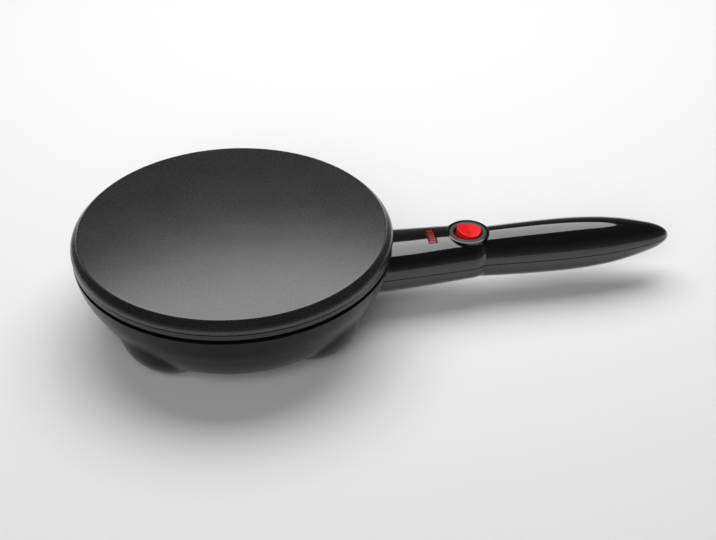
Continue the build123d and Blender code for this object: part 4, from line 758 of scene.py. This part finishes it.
# %% Screw wells under the grip
GRIP_SCREWS, GRIP_SEAT_Z = (184.0, 222.0, 262.0), 24.4
GRIP_POST, GRIP_WELL, GRIP_HOLE = 3.8, 3.1, 1.6
GRIP_ROOF, GRIP_SINK = 1.5, 1.2      # the post above the seat, and how deep in the shell it starts
for s in GRIP_SCREWS:
    foot_z = handle_point(s, math.radians(270))[2] + GRIP_SINK
    post = solid("post", post_line(GRIP_POST, foot_z, GRIP_SEAT_Z + GRIP_ROOF), s,
                 steps=WELL_STEPS)
    drill = solid("drill", drill_line(GRIP_WELL, GRIP_SEAT_Z, GRIP_HOLE, GRIP_SEAT_Z + PAST), s,
                  steps=WELL_STEPS)
    cut(handle_base, post, "UNION")
    cut(handle_base, drill)
    print("grip well at", s, "starts at", round(foot_z, 2))
finish_piece(handle_base, "housing", gloss_black, ["handle_lower"])

# %% Grip screws with a cross drive
DRIVE_SIZE, DRIVE_ROUND, DRIVE_Z, DRIVE_TURNS = (3.2, 0.75, 2.0), 0.2, 22.2, (20, 110)
screw_line = [
    (0, 22.0, 0), (2.2, 22.15, 0.5), (2.75, 22.9, 0.4), (2.8, 24.35, 0.1), (1.45, GRIP_SEAT_Z, 0),
    (1.45, 38.0, 0.3), (0, 38.6, 0),
]
drive = block("drive", DRIVE_SIZE, (0, 0, 0), DRIVE_ROUND, 2)
for number, s in enumerate(GRIP_SCREWS, 1):
    screw = solid(f"grip_screw_{number}", screw_line, s, steps=WELL_STEPS)
    for turn in DRIVE_TURNS:
        cut(screw, copied(drive, "slot", Matrix.Rotation(math.radians(turn), 4, "Z"),
                          shift(AXIS_X + s, 0, DRIVE_Z)))
    finish_piece(screw, "housing", zinc, ["handle_screws"])
bpy.data.objects.remove(drive)

# %% [markdown]
# ## Switch
# The bezel is one turned cup that drops into the turret. The round rocker has a top of two
# gentle slopes with a soft valley between them. It rests tipped, with the plate-side end up.

# %% Bezel and body
bezel = turned("switch_bezel", soften([
    (12.7, 46.85, 0.1), (12.7, 49.0, 0.7), (10.1, 49.0, 0.5), (9.35, 48.2, 0.3), (9.35, 42.1, 0),
    (7.5, 42.1, 0), (7.5, 34.5, 0), (4.0, 34.5, 0), (4.0, 33.0, 0), (9.0, 33.0, 0.3),
    (9.0, 40.6, 0), (10.8, 40.6, 0.2), (10.8, 46.85, 0),
]), TURRET_S)
finish_piece(bezel, "housing", bezel_grey, ["switch_housing"])

# %% Rocker
ROCKER_RADIUS, ROCKER_TOP, ROCKER_BOTTOM = 8.3, 3.5, -2.6    # heights from the pivot
ROCKER_PIVOT_Z, ROCKER_TILT = 46.4, 8.0
VALLEY, ROCKER_RISE, ROCKER_SHOULDER = 1.0, 1.5, 1.5    # points above the shoulder are lifted
cap_line = [(radius, ROCKER_TOP, 0) for radius in (0, 1, 2, 3, 4, 5, 6, 6.8, 7.4)]
side_line = [(ROCKER_RADIUS, ROCKER_TOP, 0.8), (ROCKER_RADIUS, ROCKER_BOTTOM, 0.3),
             (0, ROCKER_BOTTOM, 0)]
rocker = solid("rocker_cap", cap_line + side_line)
centre_x = AXIS_X * MM
for vertex in rocker.data.vertices:
    if vertex.co.z > ROCKER_SHOULDER * MM:
        away = (vertex.co.x - centre_x) / MM
        slope = (math.sqrt(away ** 2 + VALLEY ** 2) - VALLEY) / (ROCKER_RADIUS - VALLEY)
        vertex.co.z += ROCKER_RISE * slope * MM
for move in (Matrix.Translation((-centre_x, 0, 0)),
             Matrix.Rotation(math.radians(ROCKER_TILT), 4, "Y"),
             shift(AXIS_X + TURRET_S, 0, ROCKER_PIVOT_Z)):
    rocker.data.transform(move)
finish_piece(rocker, "rocker", rocker_red, ["rocker"], angle=30)

# %% [markdown]
# ## Lamp window
# A small red lens with ribs across it, which spread the lamp's light. Its top follows the crown
# of the neck. Every other strip of a grid is sunk, and the edges are softened.

# %% Lens
LENS_GAP, LENS_LIFT, LENS_WALL, LENS_EDGE, LENS_ANGLE = 0.8, 0.1, 2.2, 0.1, 50
RIBS, RIB_DEPTH, LENS_SPANS = 7, 0.45, 6
strips = 2 * RIBS - 1
length, width = WINDOW_SIZE[0] - 2 * LENS_GAP, WINDOW_SIZE[1] - 2 * LENS_GAP
deselect()
bpy.ops.mesh.primitive_grid_add(x_subdivisions=LENS_SPANS, y_subdivisions=strips, size=1)
lens = bpy.context.object
lens.name = lens.data.name = "window_lens"
lens.data.transform(Matrix.Diagonal((length * MM, width * MM, 1, 1)))
bpy.ops.object.mode_set(mode="EDIT")
mesh = bmesh.from_edit_mesh(lens.data)
for face in mesh.faces:
    strip = math.floor((face.calc_center_median().y / MM + width / 2) / (width / strips))
    face.select_set(strip % 2 == 1)
bmesh.update_edit_mesh(lens.data)
bpy.ops.mesh.extrude_region_move(TRANSFORM_OT_translate={"value": (0, 0, -RIB_DEPTH * MM)})
bpy.ops.object.mode_set(mode="OBJECT")
neck_width, neck_height = between(NECK, WINDOW_S)[:2]
for vertex in lens.data.vertices:
    across = abs(vertex.co.y / MM) / neck_width
    crown = neck_height * (1 - across ** TOP_SQUARE) ** (1 / TOP_SQUARE)
    vertex.co += Vector(((AXIS_X + WINDOW_S) * MM, 0, (SEAM_Z + crown + LENS_LIFT) * MM))
apply(lens, "SOLIDIFY", thickness=LENS_WALL * MM, offset=-1.0)
round_edges(lens, LENS_EDGE, LENS_ANGLE)
finish_piece(lens, "housing", lens_red, ["pilot_lens"])

# %% Foot pads
pad_line = [
    (0, 0, 0), (3, 0, 0.2), (3.4, 0.4, 0.2), (4.4, 0.4, 0.2), (4.8, 0, 0.2), (6.4, 0, 0.2),
    (6.8, 0.4, 0.2), (7.8, 0.4, 0.2), (8.2, 0, 0.2), (11.1, 0, 0.3), (11.5, 0.4, 0.3),
    (11.5, 1.5, 0.2), (0, 1.5, 0),
]
pattern = solid("pad_pattern", pad_line, steps=64)
for number, (side_x, side_y) in enumerate(((-1, -1), (-1, 1), (1, -1), (1, 1)), 1):
    place = shift(side_x * FOOT_SPREAD, side_y * FOOT_SPREAD, 0)
    pad = copied(pattern, f"foot_pad_{number}", place)
    finish_piece(pad, "housing", pad_rubber, ["foot_pads"])
bpy.data.objects.remove(pattern)

# %% [markdown]
# ## The parts that stay as measured
# Springs, leads, straps, contacts and the collar keep their measured shape. Each gets the finish
# of what it is made of, from the same shared skin.

# %% Finishes for the inner parts
def metal(name, base, roughness, **values):
    """A bare metal made from the shared skin."""
    return finish(name, base, roughness, metallic=1.0, **values)


aluminium = metal("aluminium", (0.72, 0.72, 0.73), 0.36, grain=800.0, bump=0.1)
over(aluminium, lay, 0.2, "Roughness", Scale=700.0)
finishes = {
    "gloss_black": gloss_black,
    "nonstick_plate": plate_coating,
    "rim_black": rim_black,
    "dark_grey": bezel_grey,
    "rocker_red": rocker_red,
    "lens_red": lens_red,
    "pad_rubber": pad_rubber,
    "zinc_steel": zinc,
    "aluminium": aluminium,
    "shield_aluminium": aluminium,
    "element_steel": metal("element_steel", (0.38, 0.37, 0.35), 0.42, drift=0.3, bump=0.15),
    "nickel_steel": metal("nickel_steel", (0.66, 0.64, 0.6), 0.25, bump=0.05),
    "spring_steel": metal("spring_steel", (0.55, 0.55, 0.57), 0.25, bump=0.05),
    "brass": metal("brass", (0.72, 0.52, 0.22), 0.28, drift=0.2, bump=0.08),
    "ceramic": finish("ceramic", (0.8, 0.78, 0.72), 0.7, bump=0.2),
    "bakelite": finish("bakelite", (0.035, 0.033, 0.032), 0.45, bump=0.15),
    "nylon_clear": finish("nylon", (0.78, 0.76, 0.68), 0.45, bump=0.08),
    "lamp_glass": finish("lamp_glass", (0.9, 0.8, 0.7), 0.05, bump=0.01, Transmission_Weight=0.8),
    "wire_red": finish("wire_red", (0.5, 0.03, 0.03), 0.5, bump=0.1),
    "wire_white": finish("wire_white", (0.75, 0.74, 0.7), 0.5, bump=0.1),
    "wire_green": finish("wire_green", (0.06, 0.32, 0.08), 0.5, bump=0.1),
}
slots = {row["node"]: row["material_slot"] for row in frame["record"]["subparts"]}
for name, node in nodes.items():
    node.data.materials.clear()
    node.data.materials.append(finishes[slots[name]])
print("nodes kept as measured:", sorted(name for name in nodes if not nodes[name].hide_render))
